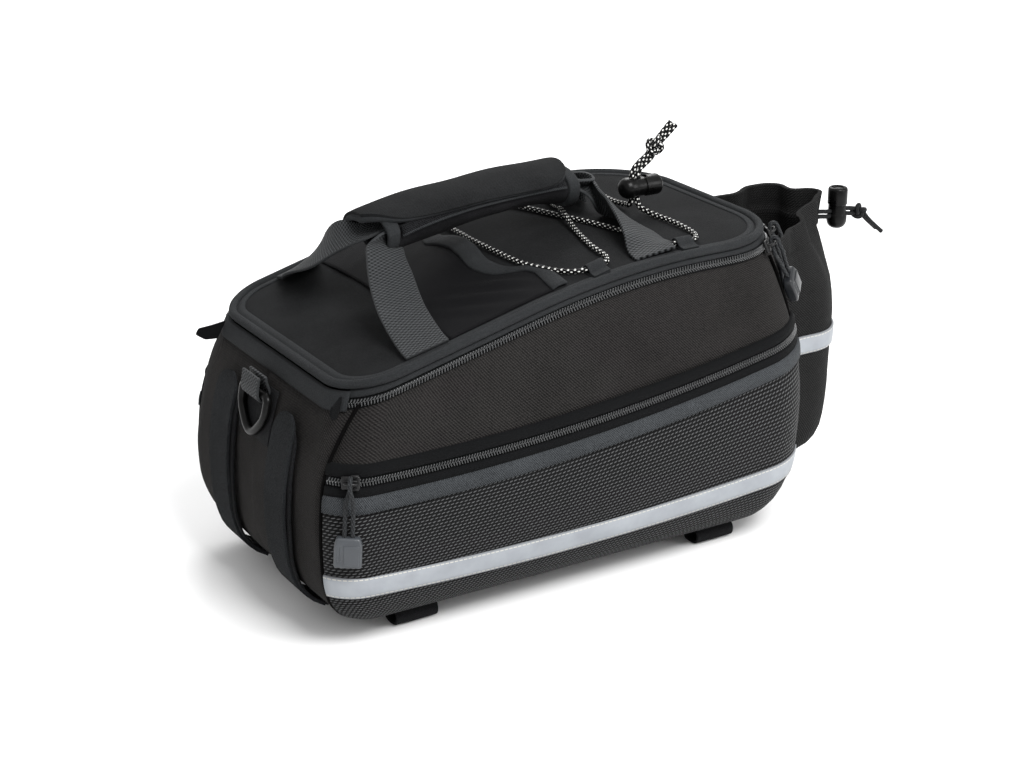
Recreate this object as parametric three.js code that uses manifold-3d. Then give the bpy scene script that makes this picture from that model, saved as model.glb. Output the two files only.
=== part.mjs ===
// Bicycle trunk bag: a tapered fabric body that sits on a rear rack, with a zipped lid, a padded handle,
// a bungee cord laced over the lid, mesh side pockets and a bottle pocket behind.
// Millimetres. +X runs to the rear, where the bottle pocket is, -Y is the near side, +Z is up.
// The origin is the centre of the flat base underside.
import * as THREE from 'three';
import { mergeVertices } from 'three/addons/utils/BufferGeometryUtils.js';
import Module from 'manifold-3d';

const wasm = await Module();
wasm.setup();

// Driving dimensions
const clearance = 0.3;
const fabricWall = 3;
const bodyLength = 298;
const bodyWidth = 172;
const bodyFrontCorner = 20;
const bodyRearCorner = 34;
const bodySideBow = 3;
const baseFrontInset = 31;
const baseRearInset = 21;
const baseWidth = 132;
const baseFrontCorner = 7;
const baseRearCorner = 23;
const lidLength = 261;
const lidShift = -0.3;
const lidWidth = 156;
const lidFrontCorner = 26;
const lidRearCorner = 44;
const lidBow = 2;
const frontHeight = 125;
const rearHeight = 164;
const lidSlope = 0.26;
const slopeBlend = 14;
const lidCrown = 4;
const lidWall = 2;
const pipingRadius = 2.3;
const zipBandHeight = 14;
const zipWall = 2;
const chainWidth = 4.4;
const chainRise = 1.3;
const hingeStripProud = 1.2;
const patchWall = 1.2;
const patchSeat = 0.5;

// Named places that follow from the driving dimensions
const bodyHalf = bodyLength / 2;
const lidHalf = lidLength / 2;
const base = {
  front: -bodyHalf + baseFrontInset, rear: bodyHalf - baseRearInset, half: baseWidth / 2,
  frontCorner: baseFrontCorner, rearCorner: baseRearCorner, bow: 0,
};
const belly = {
  front: -bodyHalf, rear: bodyHalf, half: bodyWidth / 2,
  frontCorner: bodyFrontCorner, rearCorner: bodyRearCorner, bow: bodySideBow,
};
const rim = {
  front: lidShift - lidHalf, rear: lidShift + lidHalf, half: lidWidth / 2,
  frontCorner: lidFrontCorner, rearCorner: lidRearCorner, bow: lidBow,
};

// How far each level of the wall is the base's outline, the rim's, and otherwise the belly's
const WALL_LEVELS = [
  { rise: 0.00, base: 1.00, rim: 0.00 },
  { rise: 0.03, base: 0.62, rim: 0.00 },
  { rise: 0.08, base: 0.34, rim: 0.00 },
  { rise: 0.16, base: 0.13, rim: 0.00 },
  { rise: 0.28, base: 0.02, rim: 0.00 },
  { rise: 0.42, base: 0.00, rim: 0.00 },
  { rise: 0.56, base: 0.00, rim: 0.06 },
  { rise: 0.70, base: 0.00, rim: 0.22 },
  { rise: 0.82, base: 0.00, rim: 0.46 },
  { rise: 0.92, base: 0.00, rim: 0.74 },
  { rise: 1.00, base: 0.00, rim: 1.00 },
];

// Stations round half of an outline: 0 to 1 front end, 1 to 2 front corner, 2 to 3 side,
// 3 to 4 rear corner, 4 to 5 rear end
const STATIONS = [
  0, 0.5, 1, 1.25, 1.5, 1.75, 2, 2.17, 2.33, 2.5, 2.67, 2.83, 3, 3.2, 3.4, 3.6, 3.8, 4, 4.5, 5,
];
const NEAR = -1;
const FAR = 1;

// Colours
const twill = material(0x2d2a28, 0.86);
const lidFabric = material(0x1e1e20, 0.84);
const stretch = material(0x1a1a1d, 0.7);
const trim = material(0x323436, 0.8);
const webbing = material(0x34363a, 0.74);
const felt = material(0x37393b, 0.95);
const hookTape = material(0x17181a, 0.9);
const meshCloth = material(0x1b1c1e, 0.8);
const teeth = material(0x26272a, 0.42);
const blackPlastic = material(0x121315, 0.3);
const greyPlastic = material(0x505256, 0.42);
const cordBlack = material(0x232427, 0.7);
const reflective = material(0xc8cdd2, 0.4);

function material(color, roughness, metalness = 0) {
  return new THREE.MeshStandardMaterial({ color, roughness, metalness });
}

const bag = new THREE.Group();

function add(name, geometry, surface) {
  const mesh = new THREE.Mesh(geometry, surface);
  mesh.name = name;
  bag.add(mesh);
  return mesh;
}

// Small vector and number helpers
const vec = (x, y, z) => new THREE.Vector3(x, y, z);
const mix = (a, b, t) => a + (b - a) * t;
const range = (count) => Array.from({ length: count }, (_, i) => i);
const steps = (from, to, count) => range(count + 1).map((i) => mix(from, to, i / count));

// A table of rows read at any key, straight between rows
function readTable(table, keyName, key, valueName) {
  const last = table.length - 1;
  if (key <= table[0][keyName]) return table[0][valueName];
  for (let i = 0; i < last; i += 1) {
    const a = table[i];
    const b = table[i + 1];
    if (key <= b[keyName]) {
      const t = (key - a[keyName]) / (b[keyName] - a[keyName]);
      return mix(a[valueName], b[valueName], t);
    }
  }
  return table[last][valueName];
}

// Height of the rim: it climbs from the front, then stays level over the rear part of the lid
function rimHeight(x) {
  const climbing = frontHeight + lidSlope * (x - rim.front);
  const gap = Math.max(slopeBlend - Math.abs(climbing - rearHeight), 0) / slopeBlend;
  return Math.min(climbing, rearHeight) - (gap * gap * slopeBlend) / 4;
}

// A point on half of a rounded outline, on the side of negative y
function outlinePoint(shape, station) {
  const { front, rear, half, frontCorner, rearCorner, bow } = shape;
  const leg = Math.min(Math.floor(station), 4);
  const t = station - leg;
  const turn = (t * Math.PI) / 2;
  let x = rear;
  let y = 0;
  if (leg === 0) {
    x = front;
    y = -t * (half - frontCorner);
  } else if (leg === 1) {
    x = front + frontCorner * (1 - Math.cos(turn));
    y = -half + frontCorner * (1 - Math.sin(turn));
  } else if (leg === 2) {
    x = mix(front + frontCorner, rear - rearCorner, t);
    y = -half;
  } else if (leg === 3) {
    x = rear - rearCorner * (1 - Math.sin(turn));
    y = -half + rearCorner * (1 - Math.cos(turn));
  } else {
    y = -(1 - t) * (half - rearCorner);
  }
  const middle = (front + rear) / 2;
  const along = (x - middle) / ((rear - front) / 2);
  return vec(x, y * (1 + (bow / half) * (1 - along * along)), 0);
}

// The wall's outline at a share of the rim's height
function wallShape(rise) {
  const baseShare = readTable(WALL_LEVELS, 'rise', rise, 'base');
  const rimShare = readTable(WALL_LEVELS, 'rise', rise, 'rim');
  const shape = {};
  for (const key of Object.keys(belly)) {
    shape[key] = belly[key] + (base[key] - belly[key]) * baseShare + (rim[key] - belly[key]) * rimShare;
  }
  return shape;
}

function insetShape(shape, inset) {
  return {
    ...shape,
    front: shape.front + inset,
    rear: shape.rear - inset,
    half: shape.half - inset,
    frontCorner: Math.max(shape.frontCorner - inset, 1),
    rearCorner: Math.max(shape.rearCorner - inset, 1),
  };
}

// A point on the body's wall at a station and a height given by a function of x
function wallBase(side, station, heightAt, inset = 0) {
  let x = outlinePoint(belly, station).x;
  let point = null;
  for (let pass = 0; pass < 5; pass += 1) {
    const rise = Math.min(heightAt(x) / rimHeight(x), 1);
    point = outlinePoint(insetShape(wallShape(rise), inset), station);
    x = point.x;
  }
  return vec(point.x, -side * point.y, heightAt(point.x));
}

// The same point, standing out from the wall by a distance, squarely or kept at its level
function wallPoint(side, station, heightAt, out, level = false) {
  const step = 0.02;
  const low = Math.max(station - step, 0);
  const high = Math.min(station + step, 5);
  const along = wallBase(side, high, heightAt).sub(wallBase(side, low, heightAt));
  const up = wallBase(side, station, (x) => heightAt(x) + 1).sub(wallBase(side, station, (x) => heightAt(x) - 1));
  const normal = along.cross(up);
  if (level) normal.setZ(0);
  normal.normalize().multiplyScalar(-side);
  return wallBase(side, station, heightAt).addScaledVector(normal, out);
}

// Geometry from rings or sheets of points
class Builder {
  constructor() {
    this.points = [];
    this.faces = [];
  }

  addPoints(list) {
    const first = this.points.length;
    this.points.push(...list);
    return list.map((_, i) => first + i);
  }

  quad(a, b, c, d) {
    this.faces.push([a, b, c], [a, c, d]);
  }

  strip(lower, upper, closed) {
    const count = closed ? lower.length : lower.length - 1;
    for (let i = 0; i < count; i += 1) {
      const next = (i + 1) % lower.length;
      this.quad(lower[i], lower[next], upper[next], upper[i]);
    }
  }

  fan(ring, centre, reversed) {
    const [hub] = this.addPoints([centre]);
    ring.forEach((corner, i) => {
      const next = ring[(i + 1) % ring.length];
      this.faces.push(reversed ? [hub, next, corner] : [hub, corner, next]);
    });
  }

  geometry() {
    const flat = [];
    for (const face of this.faces) {
      for (const corner of face) flat.push(...this.points[corner].toArray());
    }
    const loose = new THREE.BufferGeometry();
    loose.setAttribute('position', new THREE.Float32BufferAttribute(flat, 3));
    return outward(mergeVertices(loose, 1e-4));
  }
}

// Turns a closed mesh so that its faces point out
function outward(geometry) {
  const position = geometry.getAttribute('position');
  const index = Array.from(geometry.index.array);
  const corner = (i) => vec().fromBufferAttribute(position, i);
  let volume = 0;
  for (let i = 0; i < index.length; i += 3) {
    volume += corner(index[i]).dot(corner(index[i + 1]).cross(corner(index[i + 2])));
  }
  if (volume < 0) {
    for (let i = 0; i < index.length; i += 3) {
      [index[i + 1], index[i + 2]] = [index[i + 2], index[i + 1]];
    }
  }
  geometry.setIndex(index);
  geometry.computeVertexNormals();
  return geometry;
}

const centreOf = (points) => points.reduce((sum, p) => sum.add(p), vec(0, 0, 0)).divideScalar(points.length);

// A flat shape from a list of points, with holes from lists of points
function flatShape(outline, holes) {
  const points = (list) => list.map(([x, y]) => new THREE.Vector2(x, y));
  const outer = points(outline);
  if (THREE.ShapeUtils.isClockWise(outer)) outer.reverse();
  const shape = new THREE.Shape(outer);
  for (const hole of holes) {
    const inside = points(hole);
    if (!THREE.ShapeUtils.isClockWise(inside)) inside.reverse();
    shape.holes.push(new THREE.Path(inside));
  }
  return shape;
}

// A closed body through rings of points, its ends closed
function loft(rings) {
  const builder = new Builder();
  const rows = rings.map((ring) => builder.addPoints(ring));
  for (let i = 0; i + 1 < rows.length; i += 1) builder.strip(rows[i], rows[i + 1], true);
  builder.fan(rows[0], centreOf(rings[0]), true);
  builder.fan(rows[rows.length - 1], centreOf(rings[rings.length - 1]), false);
  return builder.geometry();
}

// A closed hoop through rings of points, the last joined to the first
function hoop(rings) {
  const builder = new Builder();
  const rows = rings.map((ring) => builder.addPoints(ring));
  rows.forEach((row, i) => builder.strip(row, rows[(i + 1) % rows.length], true));
  return builder.geometry();
}

// A slab between two sheets of rows of points, its edges closed
function slab(outer, inner) {
  const builder = new Builder();
  const top = outer.map((row) => builder.addPoints(row));
  const bottom = inner.map((row) => builder.addPoints(row));
  const last = top.length - 1;
  const end = top[0].length - 1;
  for (let i = 0; i < last; i += 1) {
    builder.strip(top[i], top[i + 1], false);
    builder.strip(bottom[i + 1], bottom[i], false);
    builder.quad(top[i][0], top[i + 1][0], bottom[i + 1][0], bottom[i][0]);
    builder.quad(top[i + 1][end], top[i][end], bottom[i][end], bottom[i + 1][end]);
  }
  builder.strip(bottom[0], top[0], false);
  builder.strip(top[last], bottom[last], false);
  return builder.geometry();
}

// A slab that follows the wall: rows go up it, columns run along the stations
function wallSlab(side, stations, rows, inner) {
  const sheet = (shift) => rows.map((row) => stations.map((station) => {
    const out = shift === null ? inner : row.out;
    return wallPoint(side, station, row.height, out);
  }));
  return slab(sheet(0), sheet(null));
}

const stationsBetween = (from, to) => [from, ...STATIONS.filter((s) => s > from && s < to), to];

// A whole ring of stations, near side from front to rear, then back along the far side
function fullRing(pointAt) {
  const near = STATIONS.map((station) => pointAt(NEAR, station));
  const far = STATIONS.slice(1, -1).reverse().map((station) => pointAt(FAR, station));
  return [...near, ...far];
}

// Heights of the wall's levels that lie below a share of the rim's height, as functions of x
const levelsBelow = (limit) => WALL_LEVELS.filter(({ rise }) => rise < limit)
  .map(({ rise }) => (x) => rise * rimHeight(x));

// Body: a hollow tub, open under the lid
const shellTop = (x) => rimHeight(x) - zipBandHeight;
const shellTopRise = 0.88;

function buildShell() {
  const heights = [...levelsBelow(shellTopRise), shellTop];
  const ringAt = (heightAt, inset) => fullRing((side, station) => wallBase(side, station, heightAt, inset));
  const outer = heights.map((heightAt) => ringAt(heightAt, 0));
  const innerHeights = heights.slice(3).reverse().filter((_, i) => i % 2 === 0);
  const inner = innerHeights.map((heightAt) => ringAt(heightAt, fabricWall));
  const floorRing = fullRing((side, station) => {
    const point = wallBase(side, station, () => fabricWall * 2, fabricWall * 2);
    return point.setZ(fabricWall);
  });
  add('bag_shell', loft([...outer, ...inner, floorRing]), twill);
}

// Lid: a crowned panel inside the piping
const pipingOut = pipingRadius + clearance;
const lidShape = insetShape(rim, pipingOut);
const lidSkirt = pipingRadius + clearance;

function lidEdge(side, station) {
  const point = outlinePoint(lidShape, station);
  return vec(point.x, -side * point.y, 0);
}
const lidRing = fullRing(lidEdge);

// How far a point of the lid is from its middle, 0 there and 1 at the edge
function lidGauge(x, y) {
  let gauge = 0;
  lidRing.forEach((a, i) => {
    const b = lidRing[(i + 1) % lidRing.length];
    const nx = b.y - a.y;
    const ny = a.x - b.x;
    const reach = nx * a.x + ny * a.y;
    gauge = Math.max(gauge, (nx * x + ny * y) / reach);
  });
  return gauge;
}

const lidTop = (x, y) => rimHeight(x) + lidCrown * (1 - lidGauge(x, y) ** 2);
const lidPoint = (x, y, out) => vec(x, y, lidTop(x, y) + out);

function buildLid() {
  const shares = [1, 0.92, 0.75, 0.5, 0.25];
  const scaled = (share, drop, edgeDrop) => lidRing.map((p) => {
    const x = p.x * share;
    const y = p.y * share;
    return vec(x, y, rimHeight(x) + lidCrown * (1 - share * share) - drop - edgeDrop);
  });
  const inset = 1 - lidWall / lidShape.half;
  const outer = [scaled(1, 0, lidSkirt), ...shares.map((share) => scaled(share, 0, 0))];
  const inner = [scaled(0.5, lidWall, 0), scaled(inset, lidWall, 0), scaled(inset, 0, lidSkirt)];
  const builder = new Builder();
  const rows = [...outer, ...inner].map((ring) => builder.addPoints(ring));
  rows.forEach((row, i) => {
    if (i !== outer.length - 1) builder.strip(row, rows[(i + 1) % rows.length], true);
  });
  const peak = rimHeight(0) + lidCrown;
  builder.fan(rows[outer.length - 1], vec(0, 0, peak), false);
  builder.fan(rows[outer.length], vec(0, 0, peak - lidWall), true);
  add('lid_panel', builder.geometry(), lidFabric);
}

// Piping: a round cord covered in trim, all round the lid's edge
function buildPiping() {
  const sides = 6;
  const ring = fullRing((side, station) => {
    const point = outlinePoint(rim, station);
    return vec(point.x, -side * point.y, rimHeight(point.x));
  });
  const rings = ring.map((centre, i) => {
    const before = ring[(i + ring.length - 1) % ring.length];
    const after = ring[(i + 1) % ring.length];
    const along = after.clone().sub(before).normalize();
    const across = along.clone().cross(vec(0, 0, 1)).normalize();
    const up = across.clone().cross(along);
    return range(sides).map((k) => {
      const angle = (k * 2 * Math.PI) / sides;
      return centre.clone()
        .addScaledVector(across, pipingRadius * Math.cos(angle))
        .addScaledVector(up, pipingRadius * Math.sin(angle));
    });
  });
  add('lid_piping', hoop(rings), trim);
}

// Zip round the lid: tape and chain as one band from front corner to front corner
const zipStart = 1.5;
const zipTop = pipingRadius + clearance * 2;
const chainMiddle = 8;

function halfAndMirror(from) {
  const near = stationsBetween(from, 5).map((station) => ({ side: NEAR, station }));
  const far = stationsBetween(from, 5).slice(0, -1).reverse().map((station) => ({ side: FAR, station }));
  return [...near, ...far];
}

function bandRound(places, rows, inner) {
  const sheet = (flat) => rows.map((row) => places.map(({ side, station }) => {
    const point = wallPoint(side, station, (x) => rimHeight(x) - row.drop, flat ? inner : row.out, true);
    return point.setZ(rimHeight(point.x) - row.drop);
  }));
  return slab(sheet(false), sheet(true));
}

function buildLidZip() {
  const chainHalf = chainWidth / 2;
  const rows = [
    { drop: zipTop, out: 0 },
    { drop: chainMiddle - chainHalf, out: chainRise },
    { drop: chainMiddle + chainHalf, out: chainRise },
    { drop: zipBandHeight - clearance, out: 0 },
  ];
  add('lid_zip', bandRound(halfAndMirror(zipStart), rows, -zipWall), teeth);
}

// Hinge strip: the fabric along the front edge on which the lid folds back
function buildHingeStrip() {
  const gapShare = clearance / lidFrontCorner;
  const near = stationsBetween(0, zipStart - gapShare).map((station) => ({ side: NEAR, station }));
  const far = near.slice(1).reverse().map(({ station }) => ({ side: FAR, station }));
  const rows = [
    { drop: zipTop, out: hingeStripProud * 0.4 },
    { drop: zipBandHeight * 0.5, out: hingeStripProud },
    { drop: zipBandHeight - clearance, out: hingeStripProud * 0.6 },
  ];
  add('lid_hinge_strip', bandRound([...far, ...near], rows, -zipWall), trim);
}

// Zip end tabs: short folded ends of tape that stick out at the front corners
const tabLength = 13;
const tabHeight = 9;
const tabWall = 1.6;

function buildEndTab(name, side, station, length) {
  const middleDrop = zipBandHeight * 0.6;
  const seat = hingeStripProud + clearance * 2;
  const bandHeight = (drop) => (x) => rimHeight(x) - drop;
  const across = wallPoint(side, station + 0.1, bandHeight(middleDrop), 0)
    .sub(wallPoint(side, station - 0.1, bandHeight(middleDrop), 0)).setZ(0).normalize();
  const section = (out, tall, sink) => [[-1, -1], [1, -1], [1, 1], [-1, 1]].map(([u, v]) => (
    wallPoint(side, station, bandHeight(middleDrop + sink - (v * tall) / 2), out, true)
      .addScaledVector(across, (u * tabWall) / 2)));
  add(name, loft([section(seat, tabHeight, 0), section(seat + length / 2, tabHeight * 0.8, 1),
    section(seat + length, tabHeight * 0.35, 0)]), trim);
}

// Side pockets: a mesh panel under a zip, with a reflective strip, the same on both sides
const seamFront = 1.5;
const seamRear = 3.6;
const pocketZipMiddle = 89.3;
const pocketZipRise = 13.9;
const pocketZipBend = 8.2;
const upperTapeHeight = 5;
const pocketChain = 5;
const lowerTapeHeight = 14;
const stripHeight = 12;
const stripMiddle = 26;
const stripRise = 2.5;
const stripBend = 5.8;
const stripBendRise = 0.16;
const panelTopRise = 0.5;

const bentLine = (middle, rise, bend) => (x) => {
  const share = x / bodyHalf;
  return middle + rise * share + bend * share * share;
};
const pocketZipLine = bentLine(pocketZipMiddle, pocketZipRise, pocketZipBend);
const stripLine = bentLine(stripMiddle, stripRise, stripBend);

// A band along a line on the wall, between two distances below or above it
function wallBand(side, from, to, line, low, high, out, wall) {
  const rows = [low, high].map((shift) => ({ height: (x) => line(x) + shift, out: out + wall }));
  return wallSlab(side, stationsBetween(from, to), rows, out);
}

function buildSidePocket(side, label) {
  const chainHalf = pocketChain / 2;
  const panelTop = (x) => pocketZipLine(x) - chainHalf - lowerTapeHeight - clearance * 2;
  const stripLow = (x) => stripLine(x) - stripHeight / 2;
  const lowest = levelsBelow(panelTopRise).slice(1);
  const panelRows = [...lowest, panelTop].map((height) => ({ height, out: patchSeat + patchWall }));
  const stations = stationsBetween(seamFront, seamRear);
  add(`pocket_mesh_${label}`, wallSlab(side, stations, panelRows, patchSeat), meshCloth);
  add(`pocket_tape_upper_${label}`, wallBand(side, seamFront, seamRear, pocketZipLine,
    chainHalf + clearance, chainHalf + upperTapeHeight, patchSeat, patchWall), trim);
  add(`pocket_zip_${label}`, wallBand(side, seamFront, seamRear, pocketZipLine,
    -chainHalf, chainHalf, patchSeat, patchWall * 1.2), teeth);
  add(`pocket_tape_lower_${label}`, wallBand(side, seamFront, seamRear, pocketZipLine,
    -chainHalf - lowerTapeHeight, -chainHalf - clearance, patchSeat, patchWall * 1.1), trim);
  const stripSeat = patchSeat + patchWall + clearance;
  const stripOut = stripSeat + patchWall * 0.7;
  const bend = (x) => Math.min(Math.max(stripBendRise * rimHeight(x), stripLow(x) + 1), stripLow(x) + stripHeight - 1);
  const stripRows = [stripLow, bend, (x) => stripLow(x) + stripHeight].map((height) => ({ height, out: stripOut }));
  add(`reflective_strip_${label}`, wallSlab(side, stations, stripRows, stripSeat), reflective);
}

// Zip slider: a plate over the chain with a bridge that holds the pull cord
const pullCordDiameter = 2.2;
const sliderLength = 9;
const sliderWidth = 7;
const sliderWall = 2;
const bridgeWidth = 2.4;
const bridgeBar = 1.2;
const bridgeLength = 6;
const bridgeEye = pullCordDiameter + clearance * 2;
const eyeOut = sliderWall + bridgeEye / 2;

function sliderSolid() {
  const plate = new THREE.BoxGeometry(sliderLength, sliderWall, sliderWidth).translate(0, sliderWall / 2, 0);
  const half = bridgeLength / 2;
  const top = sliderWall + bridgeEye + bridgeBar;
  const arch = flatShape([[-half, 1], [half, 1], [half, top - 0.6], [half - 0.8, top], [0.8 - half, top],
    [-half, top - 0.6]], [[[-half + bridgeBar, sliderWall - 0.2], [half - bridgeBar, sliderWall - 0.2],
    [half - bridgeBar, sliderWall + bridgeEye], [-half + bridgeBar, sliderWall + bridgeEye]]]);
  const bridge = new THREE.ExtrudeGeometry(arch, { depth: bridgeWidth, bevelEnabled: false });
  bridge.translate(0, 0, -bridgeWidth / 2);
  return fromManifold(toManifold(plate).add(toManifold(bridge)));
}

// Places a solid drawn with x along the zip, y out of the wall and z across the zip
function seatOnWall(solid, side, station, heightAt, out) {
  const step = 0.03;
  const seat = wallPoint(side, station, heightAt, out);
  const away = wallPoint(side, station, heightAt, out + 1).sub(seat).normalize();
  const along = wallPoint(side, station + step, heightAt, out)
    .sub(wallPoint(side, station - step, heightAt, out));
  along.addScaledVector(away, -along.dot(away)).normalize();
  const across = along.clone().cross(away);
  const frame = new THREE.Matrix4().makeBasis(along, away, across).setPosition(seat);
  const lie = across.clone().multiplyScalar(-Math.sign(across.z));
  return { solid: solid.applyMatrix4(frame), seat, along, away, lie };
}

// Pull: a loop of thin cord through the slider's eye, with a moulded end
const pullLoopGap = 1.6;
const pullEndLength = 15.5;
const pullEndWidth = 13.5;
const pullEndWall = 6;

function tube(points, radius, count, sides) {
  const path = new THREE.CatmullRomCurve3(points, false, 'centripetal');
  return sweep(path, radius, count, sides);
}

// A tube with its rows at the points themselves, so that tight bends get rows close together
function tubeThrough(points, radius, sides) {
  const path = new THREE.CatmullRomCurve3(points, false, 'centripetal');
  path.getPointAt = path.getPoint;
  path.getTangentAt = path.getTangent;
  return sweep(path, radius, points.length - 1, sides);
}

function sweep(path, radius, count, sides) {
  const section = new THREE.Shape();
  range(sides).forEach((k) => {
    const angle = (k * 2 * Math.PI) / sides;
    const x = radius * Math.cos(angle);
    const y = radius * Math.sin(angle);
    if (k === 0) section.moveTo(x, y);
    else section.lineTo(x, y);
  });
  section.closePath();
  return new THREE.ExtrudeGeometry(section, { steps: count, extrudePath: path, bevelEnabled: false });
}

// A moulded end: a flat rounded block, drawn hanging down -z with its mouth at the origin
function pullEndSolid() {
  const w = pullEndWidth / 2;
  const t = pullEndWall / 2;
  const ring = (z, shareW, shareT) => {
    const a = w * shareW;
    const b = t * shareT;
    const cut = Math.min(a, b) * 0.5;
    return [[-a, -b + cut], [-a + cut, -b], [a - cut, -b], [a, -b + cut],
      [a, b - cut], [a - cut, b], [-a + cut, b], [-a, b - cut]].map(([x, y]) => vec(x, y, z));
  };
  return loft([ring(0, 0.8, 0.75), ring(-pullEndLength * 0.18, 1, 1),
    ring(-pullEndLength * 0.86, 1, 0.95), ring(-pullEndLength, 0.85, 0.6)]);
}

// A pull hangs from a slider's eye: its cord goes through the eye, over the bridge and back down
function buildPull(name, placed, down, hang) {
  const { along, away, lie } = placed;
  const eye = placed.seat.clone().addScaledVector(away, eyeOut);
  const radius = pullCordDiameter / 2;
  const spread = radius + pullLoopGap / 2;
  const over = bridgeEye / 2 + bridgeBar + clearance + radius;
  const arc = over / 2;
  const below = bridgeWidth / 2 + radius;
  const place = (wide, low, out, way) => eye.clone().addScaledVector(along, wide).addScaledVector(way, low)
    .addScaledVector(away, out);
  const wide = along.clone().addScaledVector(down, -along.dot(down)).normalize();
  const strand = (sign, out) => [1, 0.7, 0.4].map((share) => (
    place(0, hang * share, mix(over * 0.5, out, 1 - share), down).addScaledVector(wide, sign * spread)));
  const turn = [0.25, 0.5, 0.75].map((share) => {
    const angle = share * Math.PI;
    return place(0, -bridgeWidth / 2 - arc * Math.sin(angle), arc * (1 - Math.cos(angle)), lie);
  });
  const points = [
    ...strand(-1, 0), place(-spread * 0.55, 6, 0.2, lie), place(0, below, 0, lie),
    place(0, -bridgeWidth / 2, 0, lie), ...turn, place(0, -bridgeWidth / 2, over, lie),
    place(0, below, over, lie), place(spread * 0.55, 6, over, lie), ...strand(1, over).reverse(),
  ];
  add(`${name}_cord`, tubeThrough(points, radius, 8), cordBlack);
  const mouth = place(0, hang + clearance, over * 0.5, down);
  const frame = new THREE.Matrix4().makeBasis(wide, wide.clone().cross(down), down.clone().negate());
  frame.setPosition(mouth);
  add(`${name}_end`, pullEndSolid().applyMatrix4(frame), greyPlastic);
}

// The way a pull hangs down over the wall: towards a place beside the wall, lower down
function hangDirection(placed, side, station, heightAt, drop, stand) {
  const low = wallPoint(side, station, (x) => heightAt(x) - drop, stand);
  return low.sub(placed.seat.clone().addScaledVector(placed.away, eyeOut)).normalize();
}

// Seen from its own side, each pocket's slider stands at the left end of its zip
const pocketSliderNear = 1.7;
const pocketSliderFar = 3.3;

function buildPocketSlider(side, label) {
  const out = patchSeat + patchWall * 1.2 + clearance;
  const station = side === NEAR ? pocketSliderNear : pocketSliderFar;
  const placed = seatOnWall(sliderSolid(), side, station, pocketZipLine, out);
  add(`pocket_slider_${label}`, placed.solid, teeth);
  const hang = 27;
  const drop = hang + pullEndLength;
  const down = hangDirection(placed, side, station, pocketZipLine, drop, out + pullEndWall / 2 - 0.5);
  buildPull(`pocket_pull_${label}`, placed, down, hang);
}

const chainLine = (x) => rimHeight(x) - chainMiddle;

function buildLidSliders() {
  const places = [
    { label: 'a', station: 3.42, lean: 0.3, hang: 25, stand: 5 },
    { label: 'b', station: 3.76, lean: 0.25, hang: 22, stand: 6 },
  ];
  for (const { label, station, lean, hang, stand } of places) {
    const placed = seatOnWall(sliderSolid(), NEAR, station, chainLine, chainRise + clearance);
    add(`lid_slider_${label}`, placed.solid, teeth);
    const down = hangDirection(placed, NEAR, station + lean, chainLine, hang + pullEndLength, stand);
    buildPull(`lid_pull_${label}`, placed, down, hang);
  }
}

// A ribbon through stations, each with a centre, a width direction and a share of the width
function ribbon(stations, width, wall, count) {
  const centres = new THREE.CatmullRomCurve3(stations.map((s) => s.centre), false, 'centripetal');
  const widths = new THREE.CatmullRomCurve3(stations.map((s) => s.across), false, 'catmullrom');
  const rows = steps(0, 1, count).map((t) => {
    const place = t * (stations.length - 1);
    const before = stations[Math.floor(place)];
    const after = stations[Math.ceil(place)];
    const half = (width / 2) * mix(before.share, after.share, place - Math.floor(place));
    const centre = centres.getPoint(t);
    const across = widths.getPoint(t).normalize();
    const face = centres.getTangent(t).cross(across).normalize();
    return { centre, across, face, half };
  });
  const sheet = (side) => rows.map(({ centre, across, face, half }) => [-1, 1].map((u) => (
    centre.clone().addScaledVector(across, u * half).addScaledVector(face, (side * wall) / 2))));
  return slab(sheet(1), sheet(-1));
}

// Handle: two webbing straps that run through a padded grip, and the grip's flap
const strapWidth = 24;
const strapWall = 1.6;
const handleFrontFoot = -86.5;
const handleRearFoot = 45;
const gripFront = -76;
const gripRear = 36.5;
const gripFrontHeight = 178;
const gripRearHeight = 187;
const gripCrown = 2;
const gripHalfWidth = 16;
const gripHalfHeight = 8.5;
const gripWall = 3;
const flapWall = 2.4;
const flapOverhang = 8;
const strapFootInset = 3;
const strapGathered = 0.6;
const strapTurning = 0.78;
// The far strap leaves the grip further ahead, clear of the flap's far edge
const farStrapAhead = 5;

function gripAxis(x) {
  const share = (x - gripFront) / (gripRear - gripFront);
  return mix(gripFrontHeight, gripRearHeight, share) + gripCrown * 4 * share * (1 - share);
}

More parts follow.
